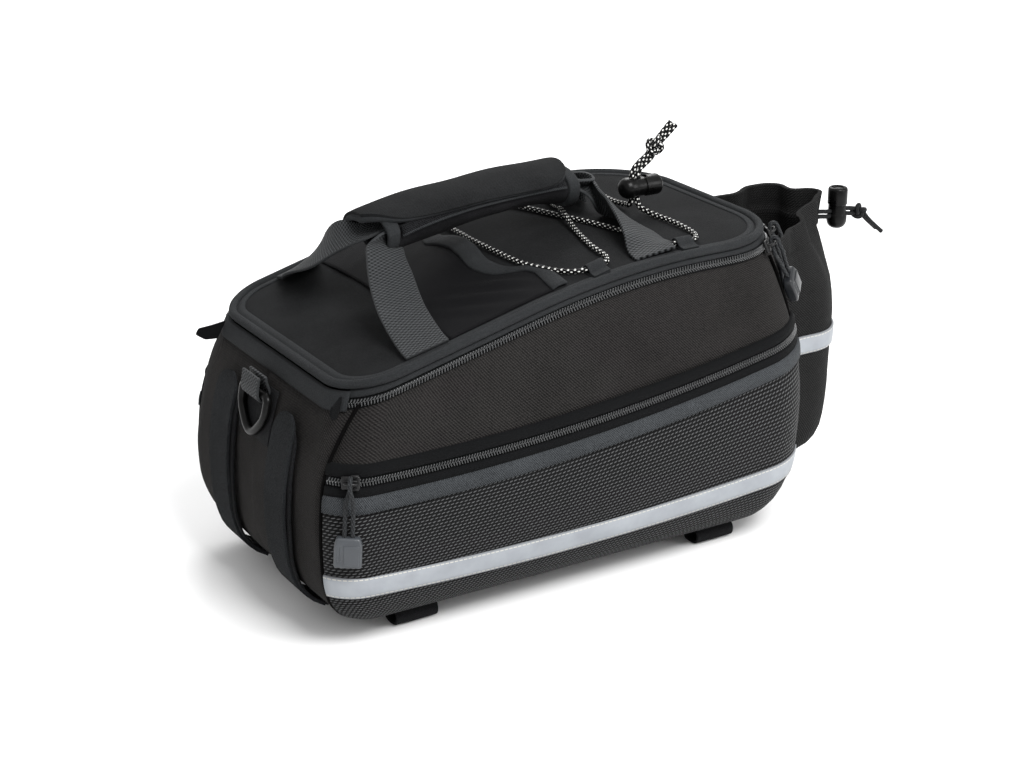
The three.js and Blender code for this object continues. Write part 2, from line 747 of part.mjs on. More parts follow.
function buildHandleStrap(side, label) {
  const layer = side * (strapWall / 2 + clearance);
  const footY = side * (lidShape.half - strapFootInset);
  const seat = strapWall / 2 + clearance * 2;
  const ahead = side === NEAR ? 0 : farStrapAhead;
  const onLid = (x, reach, lift, turn) => {
    const y = footY * reach;
    const across = lidPoint(x + 1, y, 0).sub(lidPoint(x - 1, y, 0)).normalize().multiplyScalar(turn);
    return { centre: lidPoint(x, y, lift), across, share: 1 };
  };
  const inGrip = (x) => ({ centre: vec(x, 0, gripAxis(x) + layer), across: vec(0, 1, 0), share: strapGathered });
  // The straps leave the grip one over the other, then turn away to their sides
  const leaving = (x, y, sink, turn, share) => ({
    centre: vec(x, side * y, gripAxis(x) - sink + layer * 2), across: vec(turn, 1, 0).normalize(), share,
  });
  const stations = [
    onLid(handleFrontFoot, 1, seat, side),
    onLid(handleFrontFoot, 0.9, seat + 1.5, side),
    onLid(handleFrontFoot, 0.62, 12.5, side),
    onLid(handleFrontFoot + 2 - ahead * 0.8, 0.36, 24, side),
    leaving(gripFront - 9 - ahead, 12, 6, side * 0.7, strapTurning),
    leaving(gripFront - 5 - ahead * 0.4, 3, 1, side * 0.15, strapGathered + 0.05),
    ...[gripFront + 3, gripFront + 40, gripRear - 40, gripRear - 3].map(inGrip),
    leaving(gripRear + 13, 3, 1, -side * 0.15, strapGathered + 0.05),
    leaving(gripRear + 19, 11, 5, -side * 0.7, strapTurning),
    onLid(handleRearFoot + 6, 0.38, 13.5, -side),
    onLid(handleRearFoot + 1, 0.65, 8.5, -side),
    onLid(handleRearFoot, 0.92, seat + 4.3, -side),
    onLid(handleRearFoot, 1, seat, -side),
  ];
  add(`handle_strap_${label}`, ribbon(stations, strapWidth, strapWall, 39), webbing);
}

// Points round the grip's axis at given angles, 0 at the near side and 90 on top
function gripArc(x, angles, grow) {
  return angles.map((degrees) => {
    const angle = (degrees * Math.PI) / 180;
    const y = -(gripHalfWidth + grow) * Math.cos(angle);
    const z = (gripHalfHeight + grow) * Math.sin(angle);
    return vec(x, y, gripAxis(x) + z);
  });
}

function buildGrip() {
  const lengths = steps(gripFront, gripRear, 6);
  const allRound = range(12).map((k) => k * 30);
  const outer = lengths.map((x) => gripArc(x, allRound, 0));
  const inner = lengths.slice().reverse().map((x) => gripArc(x, allRound, -gripWall));
  add('handle_grip', hoop([...outer, ...inner]), trim);
}

function buildGripFlap() {
  const from = gripFront - flapOverhang;
  const to = gripRear - flapOverhang * 0.45;
  const lengths = [from, ...steps(gripFront, gripRear, 6).slice(0, -1), to];
  const seat = clearance;
  const angles = [20, 38, 60, 90, 120, 150, 180, 210];
  const sheet = (grow) => lengths.map((x) => gripArc(x, angles, grow));
  add('handle_flap', slab(sheet(seat + flapWall), sheet(seat)), lidFabric);
}

// Lid pocket: a stretch panel whose mouth is an S-shaped bound edge
const pocketFront = -74;
const pocketSag = 1.5;
const bindingWidth = 8;
const bindingWall = 1.6;
const MOUTH = [
  { out: 0.00, along: -0.100 },
  { out: 0.18, along: -0.115 },
  { out: 0.38, along: -0.135 },
  { out: 0.55, along: -0.125 },
  { out: 0.66, along: -0.095 },
  { out: 0.78, along: -0.062 },
  { out: 0.96, along: -0.052 },
];
const mouthX = (out) => lidLength * readTable(MOUTH, 'out', Math.abs(out), 'along');
const mouthOuts = [-0.96, -0.87, -0.78, -0.66, -0.55, -0.38, -0.18, 0, 0.18, 0.38, 0.55, 0.66, 0.78, 0.87, 0.96];
const lidSeat = 0.6;

function buildLidPocket() {
  const half = lidShape.half - 2;
  const shares = [0, 0.33, 0.67, 1];
  const sheet = (wall) => shares.map((share) => mouthOuts.map((out) => {
    const x = mix(pocketFront, mouthX(out) - clearance, share);
    const swell = pocketSag * Math.sin(share * Math.PI * 0.8) * (1 - out * out);
    return lidPoint(x, out * half, lidSeat + swell + wall);
  }));
  add('lid_pocket', slab(sheet(patchWall), sheet(0)), stretch);
  const bindingSheet = (wall) => [0, 0.5, 1].map((share) => mouthOuts.map((out) => (
    lidPoint(mouthX(out) + share * bindingWidth, out * half, lidSeat + wall))));
  add('lid_pocket_binding', slab(bindingSheet(bindingWall), bindingSheet(0)), trim);
}

// Cord loops: short arches of tape at the lid's edge, which the bungee cord runs through
const bungeeDiameter = 3;
const loopTape = 1.2;
const loopReach = 9;
const loopFrontX = 12;
const loopRearX = 66;
const loopLength = 11;
const loopEdge = 4;

function buildCordLoop(name, side, x) {
  const bore = bungeeDiameter / 2 + clearance;
  const y = lidShape.half - loopEdge - bore - loopTape;
  const floorGap = 0.5;
  const outer = bore + loopTape;
  const half = loopReach / 2;
  const arch = (r, foot) => [[-half, foot], [-r, foot], [-r, bore], ...steps(Math.PI * 0.75, Math.PI * 0.25, 2)
    .map((a) => [r * Math.cos(a), bore + r * Math.sin(a)]), [r, bore], [r, foot], [half, foot]];
  const top = arch(outer, loopTape);
  const under = arch(bore, 0).reverse();
  const profile = [...top, ...under];
  const section = (shift) => profile.map(([u, v]) => {
    const px = x + shift;
    const py = side * (y + u);
    const lift = lidTop(px, side * y) + floorGap;
    return vec(px, py, lift + v);
  });
  const rings = [-0.5, 0.5].map((share) => section(share * loopLength));
  add(name, prism(rings), webbing);
}

// A closed body through rings whose outline isn't convex, its ends closed by triangulation
function prism(rings) {
  const builder = new Builder();
  const rows = rings.map((ring) => builder.addPoints(ring));
  for (let i = 0; i + 1 < rows.length; i += 1) builder.strip(rows[i], rows[i + 1], true);
  const flat = rings[0].map((p) => new THREE.Vector2(p.y, p.z));
  const cap = THREE.ShapeUtils.triangulateShape(flat, []);
  const sameTurn = !THREE.ShapeUtils.isClockWise(flat);
  for (const [a, b, c] of cap) {
    const first = sameTurn ? [c, b, a] : [a, b, c];
    builder.faces.push(first.map((i) => rows[0][i]));
    builder.faces.push(first.slice().reverse().map((i) => rows[rows.length - 1][i]));
  }
  return builder.geometry();
}

// Cord locks: a barrel with a slot for two strands, and a sprung button whose forked stem runs in it
const lockRadius = 5.7;
const lockBore = 4.3;
const barrelLength = 15;
const barrelFloor = 4;
const slotMiddle = 9;
const slotLength = 7.2;
const slotWidth = 3.6;
const buttonTravel = 3.5;
const buttonHead = 5.6;
const buttonRadius = 5.2;
const stemFit = 0.3;

function toManifold(geometry) {
  const clean = geometry.clone();
  clean.deleteAttribute('normal');
  if (clean.getAttribute('uv')) clean.deleteAttribute('uv');
  const merged = mergeVertices(clean, 1e-4);
  return new wasm.Manifold(new wasm.Mesh({
    numProp: 3,
    vertProperties: Float32Array.from(merged.getAttribute('position').array),
    triVerts: Uint32Array.from(merged.index.array),
  }));
}

function fromManifold(solid) {
  const data = solid.getMesh();
  const geometry = new THREE.BufferGeometry();
  geometry.setAttribute('position', new THREE.BufferAttribute(Float32Array.from(data.vertProperties), 3));
  geometry.setIndex(Array.from(data.triVerts));
  geometry.computeVertexNormals();
  return geometry;
}

function turned(profile) {
  return new THREE.LatheGeometry(profile.map(([r, z]) => new THREE.Vector2(r, z)), 12).rotateX(Math.PI / 2);
}

// Both pieces are drawn with the button's axis along +z, the barrel's closed end at z = 0
function lockBarrel() {
  const outside = turned([[0, 0], [lockRadius * 0.62, 0.5], [lockRadius * 0.92, 2.2], [lockRadius, 4.6],
    [lockRadius, barrelLength - 3], [lockRadius * 0.93, barrelLength], [lockBore, barrelLength],
    [lockBore, barrelFloor], [0, barrelFloor]]);
  const slot = new THREE.BoxGeometry(lockRadius * 3, slotWidth, slotLength).translate(0, 0, slotMiddle);
  return fromManifold(toManifold(outside).subtract(toManifold(slot)));
}

function lockButton() {
  const stemRadius = lockBore - stemFit;
  const stemStart = barrelFloor + buttonTravel + stemFit;
  const headStart = barrelLength + buttonTravel + stemFit;
  const headEnd = headStart + buttonHead;
  const body = turned([[0, stemStart], [stemRadius, stemStart], [stemRadius, headStart],
    [buttonRadius, headStart], [buttonRadius, headEnd - 1], [buttonRadius * 0.86, headEnd],
    [buttonRadius * 0.6, headEnd], [buttonRadius * 0.5, headEnd - 1.2], [0, headEnd - 1.2]]);
  const slotEnd = slotMiddle + slotLength / 2 + buttonTravel + stemFit;
  const slotStart = stemStart - 2;
  const slot = new THREE.BoxGeometry(lockRadius * 3, slotWidth, slotEnd - slotStart)
    .translate(0, 0, (slotStart + slotEnd) / 2);
  return fromManifold(toManifold(body).subtract(toManifold(slot)));
}

// The slot is cut along x of the drawing: frame holds where x, y and z of the drawing point
function buildLock(label, start, slotDir, axis) {
  const y = axis.clone().cross(slotDir).normalize();
  const frame = new THREE.Matrix4().makeBasis(slotDir, y, axis).setPosition(start);
  add(`${label}_lock_barrel`, lockBarrel().applyMatrix4(frame), blackPlastic);
  add(`${label}_lock_button`, lockButton().applyMatrix4(frame), blackPlastic);
}

// Bungee cord: one length laced through the four loops, both ends up through the lock to a knot.
// Each row is a place on the lid and the height of the cord's middle above it
const LID_LOCK_START = vec(65, -12, 181);
const strandLift = bungeeDiameter / 2 + 0.5;
const crossLift = strandLift + bungeeDiameter + 0.5;
const loopCentre = lidShape.half - loopEdge - bungeeDiameter / 2 - clearance - loopTape;
const loopLift = bungeeDiameter / 2 + clearance + 0.5;
const LACING = [
  { x: 73.4, y: -6, lift: strandLift + 1.4 },
  { x: 73.6, y: 6, lift: strandLift },
  { x: 75.5, y: 30, lift: strandLift },
  { x: 78, y: 52, lift: strandLift },
  { x: 77.5, y: loopCentre - 4, lift: strandLift },
  { x: 72.5, y: loopCentre, lift: loopLift },
  { x: 66, y: loopCentre, lift: loopLift },
  { x: 60, y: loopCentre, lift: loopLift },
  { x: 55, y: loopCentre - 5, lift: strandLift },
  { x: 49, y: 42, lift: strandLift },
  { x: 42, y: 20, lift: strandLift + 0.6 },
  { x: 35.5, y: 0, lift: crossLift },
  { x: 29.5, y: -22, lift: strandLift + 0.6 },
  { x: 24.5, y: -46, lift: strandLift },
  { x: 22.5, y: 4 - loopCentre, lift: strandLift },
  { x: 18, y: -loopCentre, lift: loopLift },
  { x: 12, y: -loopCentre, lift: loopLift },
  { x: 6, y: -loopCentre, lift: loopLift },
  { x: 0, y: 4 - loopCentre, lift: strandLift },
  { x: -11, y: -44, lift: strandLift },
  { x: -14.5, y: -16, lift: strandLift },
  { x: -14.5, y: 16, lift: strandLift },
  { x: -11, y: 44, lift: strandLift },
  { x: 0, y: loopCentre - 4, lift: strandLift },
  { x: 6, y: loopCentre, lift: loopLift },
  { x: 12, y: loopCentre, lift: loopLift },
  { x: 18, y: loopCentre, lift: loopLift },
  { x: 22.5, y: loopCentre - 4, lift: strandLift },
  { x: 24.5, y: 46, lift: strandLift },
  { x: 29.5, y: 22, lift: strandLift },
  { x: 35.5, y: 0, lift: strandLift },
  { x: 42, y: -20, lift: strandLift },
  { x: 49, y: -42, lift: strandLift },
  { x: 55, y: 5 - loopCentre, lift: strandLift },
  { x: 60, y: -loopCentre, lift: loopLift },
  { x: 66, y: -loopCentre, lift: loopLift },
  { x: 72.5, y: -loopCentre, lift: loopLift },
  { x: 78, y: 5 - loopCentre, lift: strandLift },
  { x: 80, y: -44, lift: strandLift },
  { x: 78, y: -24, lift: strandLift },
  { x: 76, y: -16.5, lift: strandLift + 1.4 },
];
const KNOT_SIZE = vec(9, 8, 11);
const KNOT_CENTRE = vec(86.5, -12, 202);
const KNOT_UP = vec(0.55, 0, 0.84);

// A knot: a lumpy ball drawn round two crossing turns of cord, with tails
function knotSolid(size, lumps) {
  const rings = steps(-75, 75, 5).map((latitude) => {
    const lift = (latitude * Math.PI) / 180;
    return range(10).map((k) => {
      const turn = (k * Math.PI) / 5;
      const wave = 1 + 0.1 * Math.sin(turn * lumps + latitude / 22);
      return vec(
        (size.x / 2) * wave * Math.cos(lift) * Math.cos(turn),
        (size.y / 2) * wave * Math.cos(lift) * Math.sin(turn),
        (size.z / 2) * Math.sin(lift),
      );
    });
  });
  return loft(rings);
}

function buildKnot(name, centre, upDir, size, tails, radius) {
  const frame = new THREE.Matrix4().makeRotationFromQuaternion(
    new THREE.Quaternion().setFromUnitVectors(vec(0, 0, 1), upDir.clone().normalize()),
  ).setPosition(centre);
  let solid = toManifold(knotSolid(size, 3).applyMatrix4(frame));
  for (const tail of tails) solid = solid.add(toManifold(tube(tail, radius, 3, 8)));
  add(name, fromManifold(solid), cordBlack);
}

function buildBungee() {
  const { x, y, z } = LID_LOCK_START;
  const strandX = x + slotMiddle;
  const apart = bungeeDiameter / 2 + 0.25;
  const entry = z - lockRadius - 1;
  const exit = z + lockRadius + 0.6;
  const first = [
    vec(81.6, y, 197.7), vec(77.2, y, 194.6), vec(73.4, y, 191), vec(strandX - apart, y, exit),
    vec(strandX - apart, y, z), vec(strandX - apart, y, entry), vec(strandX - apart, y + 1.6, entry - 3),
  ];
  const last = [
    vec(strandX + apart, y - 1.6, entry - 3), vec(strandX + apart, y, entry), vec(strandX + apart, y, z),
    vec(strandX + apart, y, exit), vec(76.6, y, 189.8), vec(79.6, y, 192.4), vec(84.3, y, 195.8),
  ];
  const laced = LACING.map((row) => lidPoint(row.x, row.y, row.lift));
  add('bungee_cord', tubeThrough([...first, ...laced, ...last], bungeeDiameter / 2, 8), cordBlack);
  buildLock('lid', LID_LOCK_START, vec(0, 0, 1), vec(1, 0, 0));
  const side = bungeeDiameter / 2 + 0.05;
  const tail = (shift, length, spread) => [KNOT_CENTRE.clone().add(vec(0, shift * 0.6, 1)),
    KNOT_CENTRE.clone().addScaledVector(KNOT_UP, 6).add(vec(0, shift, 0)),
    KNOT_CENTRE.clone().addScaledVector(KNOT_UP, length).add(vec(spread, shift * 1.1, 0))];
  const tails = [tail(-side, 17, -1), tail(side, 15, 1)];
  buildKnot('bungee_knot', KNOT_CENTRE, KNOT_UP, KNOT_SIZE, tails, bungeeDiameter / 2);
}

// Bottle pocket: an open fabric cup on the rear face, gathered at its rim
const bottleWidth = 78;
const bottleDepth = 57;
const bottleFloorHeight = 13;
const bottleRimHeight = 149.3;
const bottleRimLift = 6.5;
const bottleWall = 2;
const bottleCorner = 27;
const bottleFootInset = 12;
const bottleRimInset = 9;
const gatherDepth = 2;
const gatherCount = 7;
const bottleSeat = 0.9;
const POCKET_LEVELS = [
  { rise: 0.00, foot: 1.00, mouth: 0.0, gather: 0.0 },
  { rise: 0.04, foot: 0.50, mouth: 0.0, gather: 0.0 },
  { rise: 0.12, foot: 0.18, mouth: 0.0, gather: 0.0 },
  { rise: 0.30, foot: 0.00, mouth: 0.0, gather: 0.0 },
  { rise: 0.60, foot: 0.00, mouth: 0.0, gather: 0.1 },
  { rise: 0.82, foot: 0.00, mouth: 0.3, gather: 0.4 },
  { rise: 0.94, foot: 0.00, mouth: 1.0, gather: 1.0 },
  { rise: 1.00, foot: 0.00, mouth: 1.0, gather: 1.0 },
];
const bottleRun = 22;

// A point round the pocket: share 0 at the near side by the body, 0.5 at the rear, 1 at the far side
function pocketPoint(share, rise, shrink) {
  const foot = bottleFootInset * readTable(POCKET_LEVELS, 'rise', rise, 'foot');
  const mouth = bottleRimInset * readTable(POCKET_LEVELS, 'rise', rise, 'mouth');
  const gather = gatherDepth * readTable(POCKET_LEVELS, 'rise', rise, 'gather');
  const half = bottleWidth / 2 - foot * 0.5 - mouth * 0.5 - shrink;
  const corner = Math.max(bottleCorner - shrink, 4);
  const depth = bottleDepth - foot - shrink;
  const straight = depth - corner;
  const arc = (corner * Math.PI) / 2;
  const flat = half - corner;
  const total = (straight + arc + flat) * 2;
  let run = share * total;
  const mirrored = run > total / 2;
  if (mirrored) run = total - run;
  let out = run;
  let y = -half;
  if (run > straight + arc) {
    out = depth;
    y = -flat + (run - straight - arc);
  } else if (run > straight) {
    const turn = (run - straight) / corner;
    out = straight + corner * Math.sin(turn);
    y = -half + corner * (1 - Math.cos(turn));
  }
  const wave = gather * Math.cos(share * Math.PI * 2 * gatherCount) * Math.sin(share * Math.PI);
  const lift = bottleRimLift * Math.max(rise * 2 - 1, 0) * (out / bottleDepth);
  const z = mix(bottleFloorHeight, bottleRimHeight, rise) + lift + wave * 0.4;
  return { out: out - wave * 0.6, y: mirrored ? -y : y, z };
}

const rearFace = (z) => wallShape(Math.min(z / rearHeight, 1)).rear;

// The pocket stands off the body's rear face at its sewn edge, and off the belly's plane further out
function pocketWorld(share, rise, shrink) {
  const { out, y, z } = pocketPoint(share, rise, shrink);
  const reach = Math.min(Math.max(out, 0) / (bottleDepth * 0.6), 1);
  return vec(mix(rearFace(z), bodyHalf, reach) + bottleSeat + Math.max(out, 0), y, z);
}

function buildBottlePocket() {
  const rises = POCKET_LEVELS.map((level) => level.rise);
  const shares = steps(0, 1, bottleRun);
  // Each ring goes round the outside and back across the face that is sewn to the body
  const ring = (rise, shrink) => {
    const round = shares.map((share) => pocketWorld(share, rise, shrink));
    const back = [0.67, 0.33].map((t) => {
      const y = mix(round[0].y, round[round.length - 1].y, t);
      return vec(rearFace(round[0].z) + bottleSeat + shrink, y, round[0].z);
    });
    const shifted = round.map((p, i) => (i === 0 || i === round.length - 1 ? p.clone().add(vec(shrink, 0, 0)) : p));
    return [...shifted, ...back];
  };
  const outer = rises.map((rise) => ring(rise, 0));
  const inner = rises.slice(1).reverse().map((rise) => ring(rise, bottleWall));
  add('bottle_pocket', loft([...outer, ...inner]), twill);
}

const reflectorLow = 75;
const reflectorHeight = 11;

function buildBottleReflector() {
  const shares = steps(0.06, 0.94, bottleRun - 2);
  const at = (z, out) => shares.map((share) => {
    const rise = (z - bottleFloorHeight) / (bottleRimHeight - bottleFloorHeight);
    const p = pocketWorld(share, rise, 0);
    const centre = vec(bodyHalf + bottleDepth - bottleCorner, 0, p.z);
    const away = p.clone().sub(centre).setZ(0).normalize();
    return p.addScaledVector(away, out);
  });
  const sheet = (out) => [at(reflectorLow, out), at(reflectorLow + reflectorHeight, out)];
  add('bottle_reflector', slab(sheet(patchSeat + 0.8), sheet(patchSeat)), reflective);
}

// Drawcord of the bottle pocket: two strands out of the hem, through their lock, to a knot with tails
const hemX = bodyHalf + bottleSeat + bottleDepth;
const hemZ = bottleRimHeight - 5.8;
const drawY = -7;
const BOTTLE_LOCK_START = vec(hemX + 11.7, drawY, hemZ - slotMiddle);
const DRAW_ROUTE = [
  vec(hemX + 0.1, drawY, hemZ + 0.7),
  vec(hemX + 4.6, drawY, hemZ + 0.1),
  vec(hemX + 11.7, drawY, hemZ),
  vec(hemX + 18.3, drawY, hemZ),
  vec(hemX + 22.5, drawY, hemZ - 0.6),
];
const drawDiameter = 2.6;
const drawApart = drawDiameter / 2 + 0.2;

function buildDrawcord() {
  for (const [label, shift] of [['upper', drawApart], ['lower', -drawApart]]) {
    const strand = DRAW_ROUTE.map((p) => p.clone().add(vec(0, 0, shift)));
    add(`bottle_cord_${label}`, tube(strand, drawDiameter / 2, 6, 8), cordBlack);
  }
  buildLock('bottle', BOTTLE_LOCK_START, vec(1, 0, 0), vec(0, 0, 1));
  const centre = vec(hemX + 27.9, drawY, hemZ - 1.5);
  const tail = (shift, length) => [centre.clone().add(vec(2, shift * 0.5, -2)),
    centre.clone().add(vec(7, shift, -6)), centre.clone().add(vec(length, shift, -length * 0.86))];
  buildKnot('bottle_knot', centre, vec(1, 0, -0.2), vec(8, 8, 9.4), [tail(-1.35, 17), tail(1.35, 15)],
    drawDiameter / 2);
}

// Front end: hook-and-loop straps, a webbing loop with a three-sided ring, and a patch behind it
const frontStrapOffset = 34;
const frontStrapWidth = 25;
const frontStrapTop = 103;
const frontStrapFoot = 5;
const feltWall = 1.6;
const hookWall = 1;
const hookShift = 3;
const patchWidth = 35;
const patchBelowPivot = 25;
const patchAbovePivot = 2.5;
const patchSheet = 0.8;

// The front face's x at a height
function frontFace(z) {
  let x = -bodyHalf;
  for (let pass = 0; pass < 4; pass += 1) x = wallShape(Math.min(z / rimHeight(x), 1)).front;
  return x;
}

// A point on the front face at a place across it and a height, standing out by a distance
function frontPoint(y, z, out) {
  const slope = (frontFace(z + 1) - frontFace(z - 1)) / 2;
  const normal = vec(-1, 0, slope).normalize();
  return vec(frontFace(z), y, z).addScaledVector(normal, out);
}

function frontBand(middle, width, foot, top, seat, wall, rounded) {
  const radius = width / 2;
  const levels = WALL_LEVELS.map(({ rise }) => rise * rimHeight(wallShape(rise).front));
  const inside = levels.filter((z) => z > foot + 1 && z < top - (rounded ? radius : 1));
  const ends = rounded ? [0.9, 0.55, 0.25, 0.08].map((share) => top - radius * share) : [];
  const narrow = (z) => {
    const left = top - z;
    if (!rounded || left > radius) return 1;
    return Math.max(Math.sqrt(Math.max(1 - (1 - left / radius) ** 2, 0)), 0.35);
  };
  const sheet = (out) => [foot, ...inside, ...ends, top].map((z) => (
    [-1, 1].map((u) => frontPoint(middle + (u * narrow(z) * width) / 2, z, out))));
  return slab(sheet(seat + wall), sheet(seat));
}

function buildFrontStraps() {
  for (const [label, middle] of [['far', frontStrapOffset], ['near', -frontStrapOffset]]) {
    add(`front_hook_${label}`, frontBand(middle - hookShift, frontStrapWidth, frontStrapFoot,
      frontStrapTop - 4, patchSeat, hookWall, true), hookTape);
    add(`front_strap_${label}`, frontBand(middle, frontStrapWidth, frontStrapFoot - 1,
      frontStrapTop, patchSeat + hookWall + clearance, feltWall, true), felt);
  }
  add('front_patch', frontBand(0, patchWidth, ringPivotHeight - patchBelowPivot,
    ringPivotHeight + patchAbovePivot, patchSeat, patchSheet, false), hookTape);
}

// Three-sided ring, hanging from the webbing loop with its point down
const ringWidth = 33;
const ringDrop = 27;
const ringWire = 4.2;
const ringPivotHeight = 105;
const ringLoopWidth = 19;
const ringLoopWall = 1.5;
const ringStand = 4.6;

const ringPivotX = frontFace(ringPivotHeight) - ringStand - ringLoopWall;
const ringRestX = frontFace(ringPivotHeight - ringDrop) - patchSeat - patchSheet - ringWire / 2 - clearance * 2;
const ringLean = Math.asin(Math.max(ringPivotX - ringRestX, 0) / ringDrop);

function buildRing() {
  const half = (ringWidth - ringWire) / 2;
  const corners = [
    [-half + 2, 0], [half - 2, 0], [half, -2], [half, -7], [3, -ringDrop], [-3, -ringDrop], [-half, -7], [-half, -2],
  ].map(([y, z]) => vec(0, y, z));
  const centre = centreOf(corners.map((p) => p.clone()));
  const sides = 6;
  const rings = corners.map((corner, i) => {
    const before = corners[(i + corners.length - 1) % corners.length];
    const after = corners[(i + 1) % corners.length];
    const inDir = corner.clone().sub(before).normalize();
    const outDir = after.clone().sub(corner).normalize();
    const mitre = inDir.clone().sub(outDir);
    const inward = mitre.lengthSq() > 1e-6 ? mitre.normalize().negate()
      : centre.clone().sub(corner).normalize();
    const stretchShare = 1 / Math.max(Math.abs(Math.sin(inDir.angleTo(inward))), 0.6);
    return range(sides).map((k) => {
      const angle = ((k + 0.5) * 2 * Math.PI) / sides;
      return corner.clone()
        .addScaledVector(inward, (ringWire / 2) * Math.cos(angle) * stretchShare)
        .add(vec((ringWire / 2) * Math.sin(angle), 0, 0));
    });
  });
  // Drawn hanging straight, then leaned so that it lies along the wall below its pivot
  const leaned = hoop(rings).rotateY(ringLean).translate(ringPivotX, 0, ringPivotHeight);
  add('tri_ring', leaned, blackPlastic);
}

function buildRingLoop() {
  const bore = ringWire / 2 + clearance + 0.15;
  const outer = bore + ringLoopWall;
  const shape = new THREE.Shape();
  const loopTop = ringPivotHeight + 9;
  const back = -outer;
  shape.moveTo(back, ringPivotHeight);
  shape.absarc(0, ringPivotHeight, outer, Math.PI, Math.PI * 2, false);
  shape.lineTo(outer, ringPivotHeight + 2);
  shape.lineTo(-outer + ringLoopWall * 2, loopTop);
  shape.lineTo(back, loopTop);
  shape.closePath();
  const eye = new THREE.Path();
  eye.absarc(0, ringPivotHeight, bore, 0, Math.PI * 2, true);
  shape.holes.push(eye);
  const solid = new THREE.ExtrudeGeometry(shape, { depth: ringLoopWidth, bevelEnabled: false, curveSegments: 6 });
  // The drawing's x points away from the wall, so it is turned to face forward
  solid.translate(0, 0, -ringLoopWidth / 2);
  const frame = new THREE.Matrix4().makeBasis(vec(-1, 0, 0), vec(0, 0, 1), vec(0, 1, 0));
  frame.setPosition(vec(ringPivotX, 0, 0));
  add('ring_loop', solid.applyMatrix4(frame), webbing);
}

// Rack straps: webbing under the base, folded into a short loop at each side
const rackStrapWidth = 24;
const rackStrapWall = 2;
const rackStrapFront = -92;
const rackStrapRear = 94;
const rackLoopDrop = 10;
const rackLoopLength = 15;
const rackLoopReach = 3;

function buildRackStrap(name, middle) {
  const end = baseWidth / 2 + rackLoopReach;
  const top = -clearance;
  const under = top - rackStrapWall;
  const low = -rackLoopDrop;
  const inner = end - rackLoopLength;
  const rightHalf = [[end - 4, top], [end, top - 3], [end - 1, low + 3], [end - 4, low],
    [inner + 3, low], [inner - 3, under]];
  const leftHalf = rightHalf.map(([y, z]) => [-y, z]).reverse();
  const hollow = [[inner + 2, under - 0.4], [end - 5, under - 0.2], [end - rackStrapWall, under - 2],
    [end - rackStrapWall - 0.6, low + rackStrapWall + 1.5], [end - rackStrapWall - 2.6, low + rackStrapWall],
    [inner + 4.2, low + rackStrapWall]];
  const shape = flatShape([...rightHalf, ...leftHalf], [hollow, hollow.map(([y, z]) => [-y, z])]);
  const solid = new THREE.ExtrudeGeometry(shape, { depth: rackStrapWidth, bevelEnabled: false });
  solid.translate(0, 0, -rackStrapWidth / 2);
  const frame = new THREE.Matrix4().makeBasis(vec(0, 1, 0), vec(0, 0, 1), vec(1, 0, 0)).setPosition(vec(middle, 0, 0));
  add(name, solid.applyMatrix4(frame), webbing);
}

buildShell();
buildLid();
buildPiping();
buildLidZip();
buildHingeStrip();
buildEndTab('zip_end_tab_near', NEAR, 1.35, tabLength * 0.5);
buildEndTab('zip_end_tab_far', FAR, 1.2, tabLength);
buildLidSliders();
for (const [side, label] of [[NEAR, 'near'], [FAR, 'far']]) {
  buildSidePocket(side, label);
  buildPocketSlider(side, label);
  buildHandleStrap(side, label);
  buildCordLoop(`cord_loop_front_${label}`, side, loopFrontX);
  buildCordLoop(`cord_loop_rear_${label}`, side, loopRearX);
}
buildGrip();
buildGripFlap();
buildLidPocket();
buildBungee();
buildBottlePocket();
buildBottleReflector();
buildDrawcord();
buildFrontStraps();
buildRing();
buildRingLoop();
buildRackStrap('rack_strap_front', rackStrapFront);
buildRackStrap('rack_strap_rear', rackStrapRear);

export default bag;
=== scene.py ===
"""Bicycle trunk bag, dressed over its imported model. Metres, +X to the rear, -Y the near side, +Z up."""
import math
import bmesh
import bpy
import numpy as np
from mathutils import Matrix, Vector


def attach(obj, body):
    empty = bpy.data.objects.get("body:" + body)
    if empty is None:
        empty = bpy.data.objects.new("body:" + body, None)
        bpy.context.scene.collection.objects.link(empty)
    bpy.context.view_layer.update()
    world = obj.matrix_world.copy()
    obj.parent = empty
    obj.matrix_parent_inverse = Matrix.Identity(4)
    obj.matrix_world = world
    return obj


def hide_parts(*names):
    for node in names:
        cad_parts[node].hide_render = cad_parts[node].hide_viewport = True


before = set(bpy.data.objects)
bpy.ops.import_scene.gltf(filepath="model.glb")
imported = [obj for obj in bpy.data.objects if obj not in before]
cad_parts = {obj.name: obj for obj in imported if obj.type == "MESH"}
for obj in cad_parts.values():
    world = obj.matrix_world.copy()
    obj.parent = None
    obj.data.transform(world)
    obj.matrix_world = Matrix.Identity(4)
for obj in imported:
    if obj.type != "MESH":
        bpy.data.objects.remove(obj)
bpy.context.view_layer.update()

# Lengths below are in millimetres, and become metres where a mesh is made
MM = 0.001
NEAR = -1
FAR = 1
SIDES = ((NEAR, "near"), (FAR, "far"))

# The wall's outlines: front end, rear end, half width, front corner, rear corner, bow of the sides
BELLY = np.array([-149.0, 149.0, 86.0, 20.0, 34.0, 3.0])
BASE = np.array([-118.0, 128.0, 66.0, 7.0, 23.0, 0.0])
RIM = np.array([-130.8, 130.2, 78.0, 26.0, 44.0, 2.0])
FRONT_HEIGHT = 125.0
REAR_HEIGHT = 164.0
LID_SLOPE = 0.26
SLOPE_BLEND = 14.0
LID_CROWN = 4.0
PIPING_RADIUS = 2.3
CLEARANCE = 0.3
LID = RIM + np.array([1, -1, -1, -1, -1, 0]) * (PIPING_RADIUS + CLEARANCE)
LID_HALF = LID[2]


# Smooth reading of a table


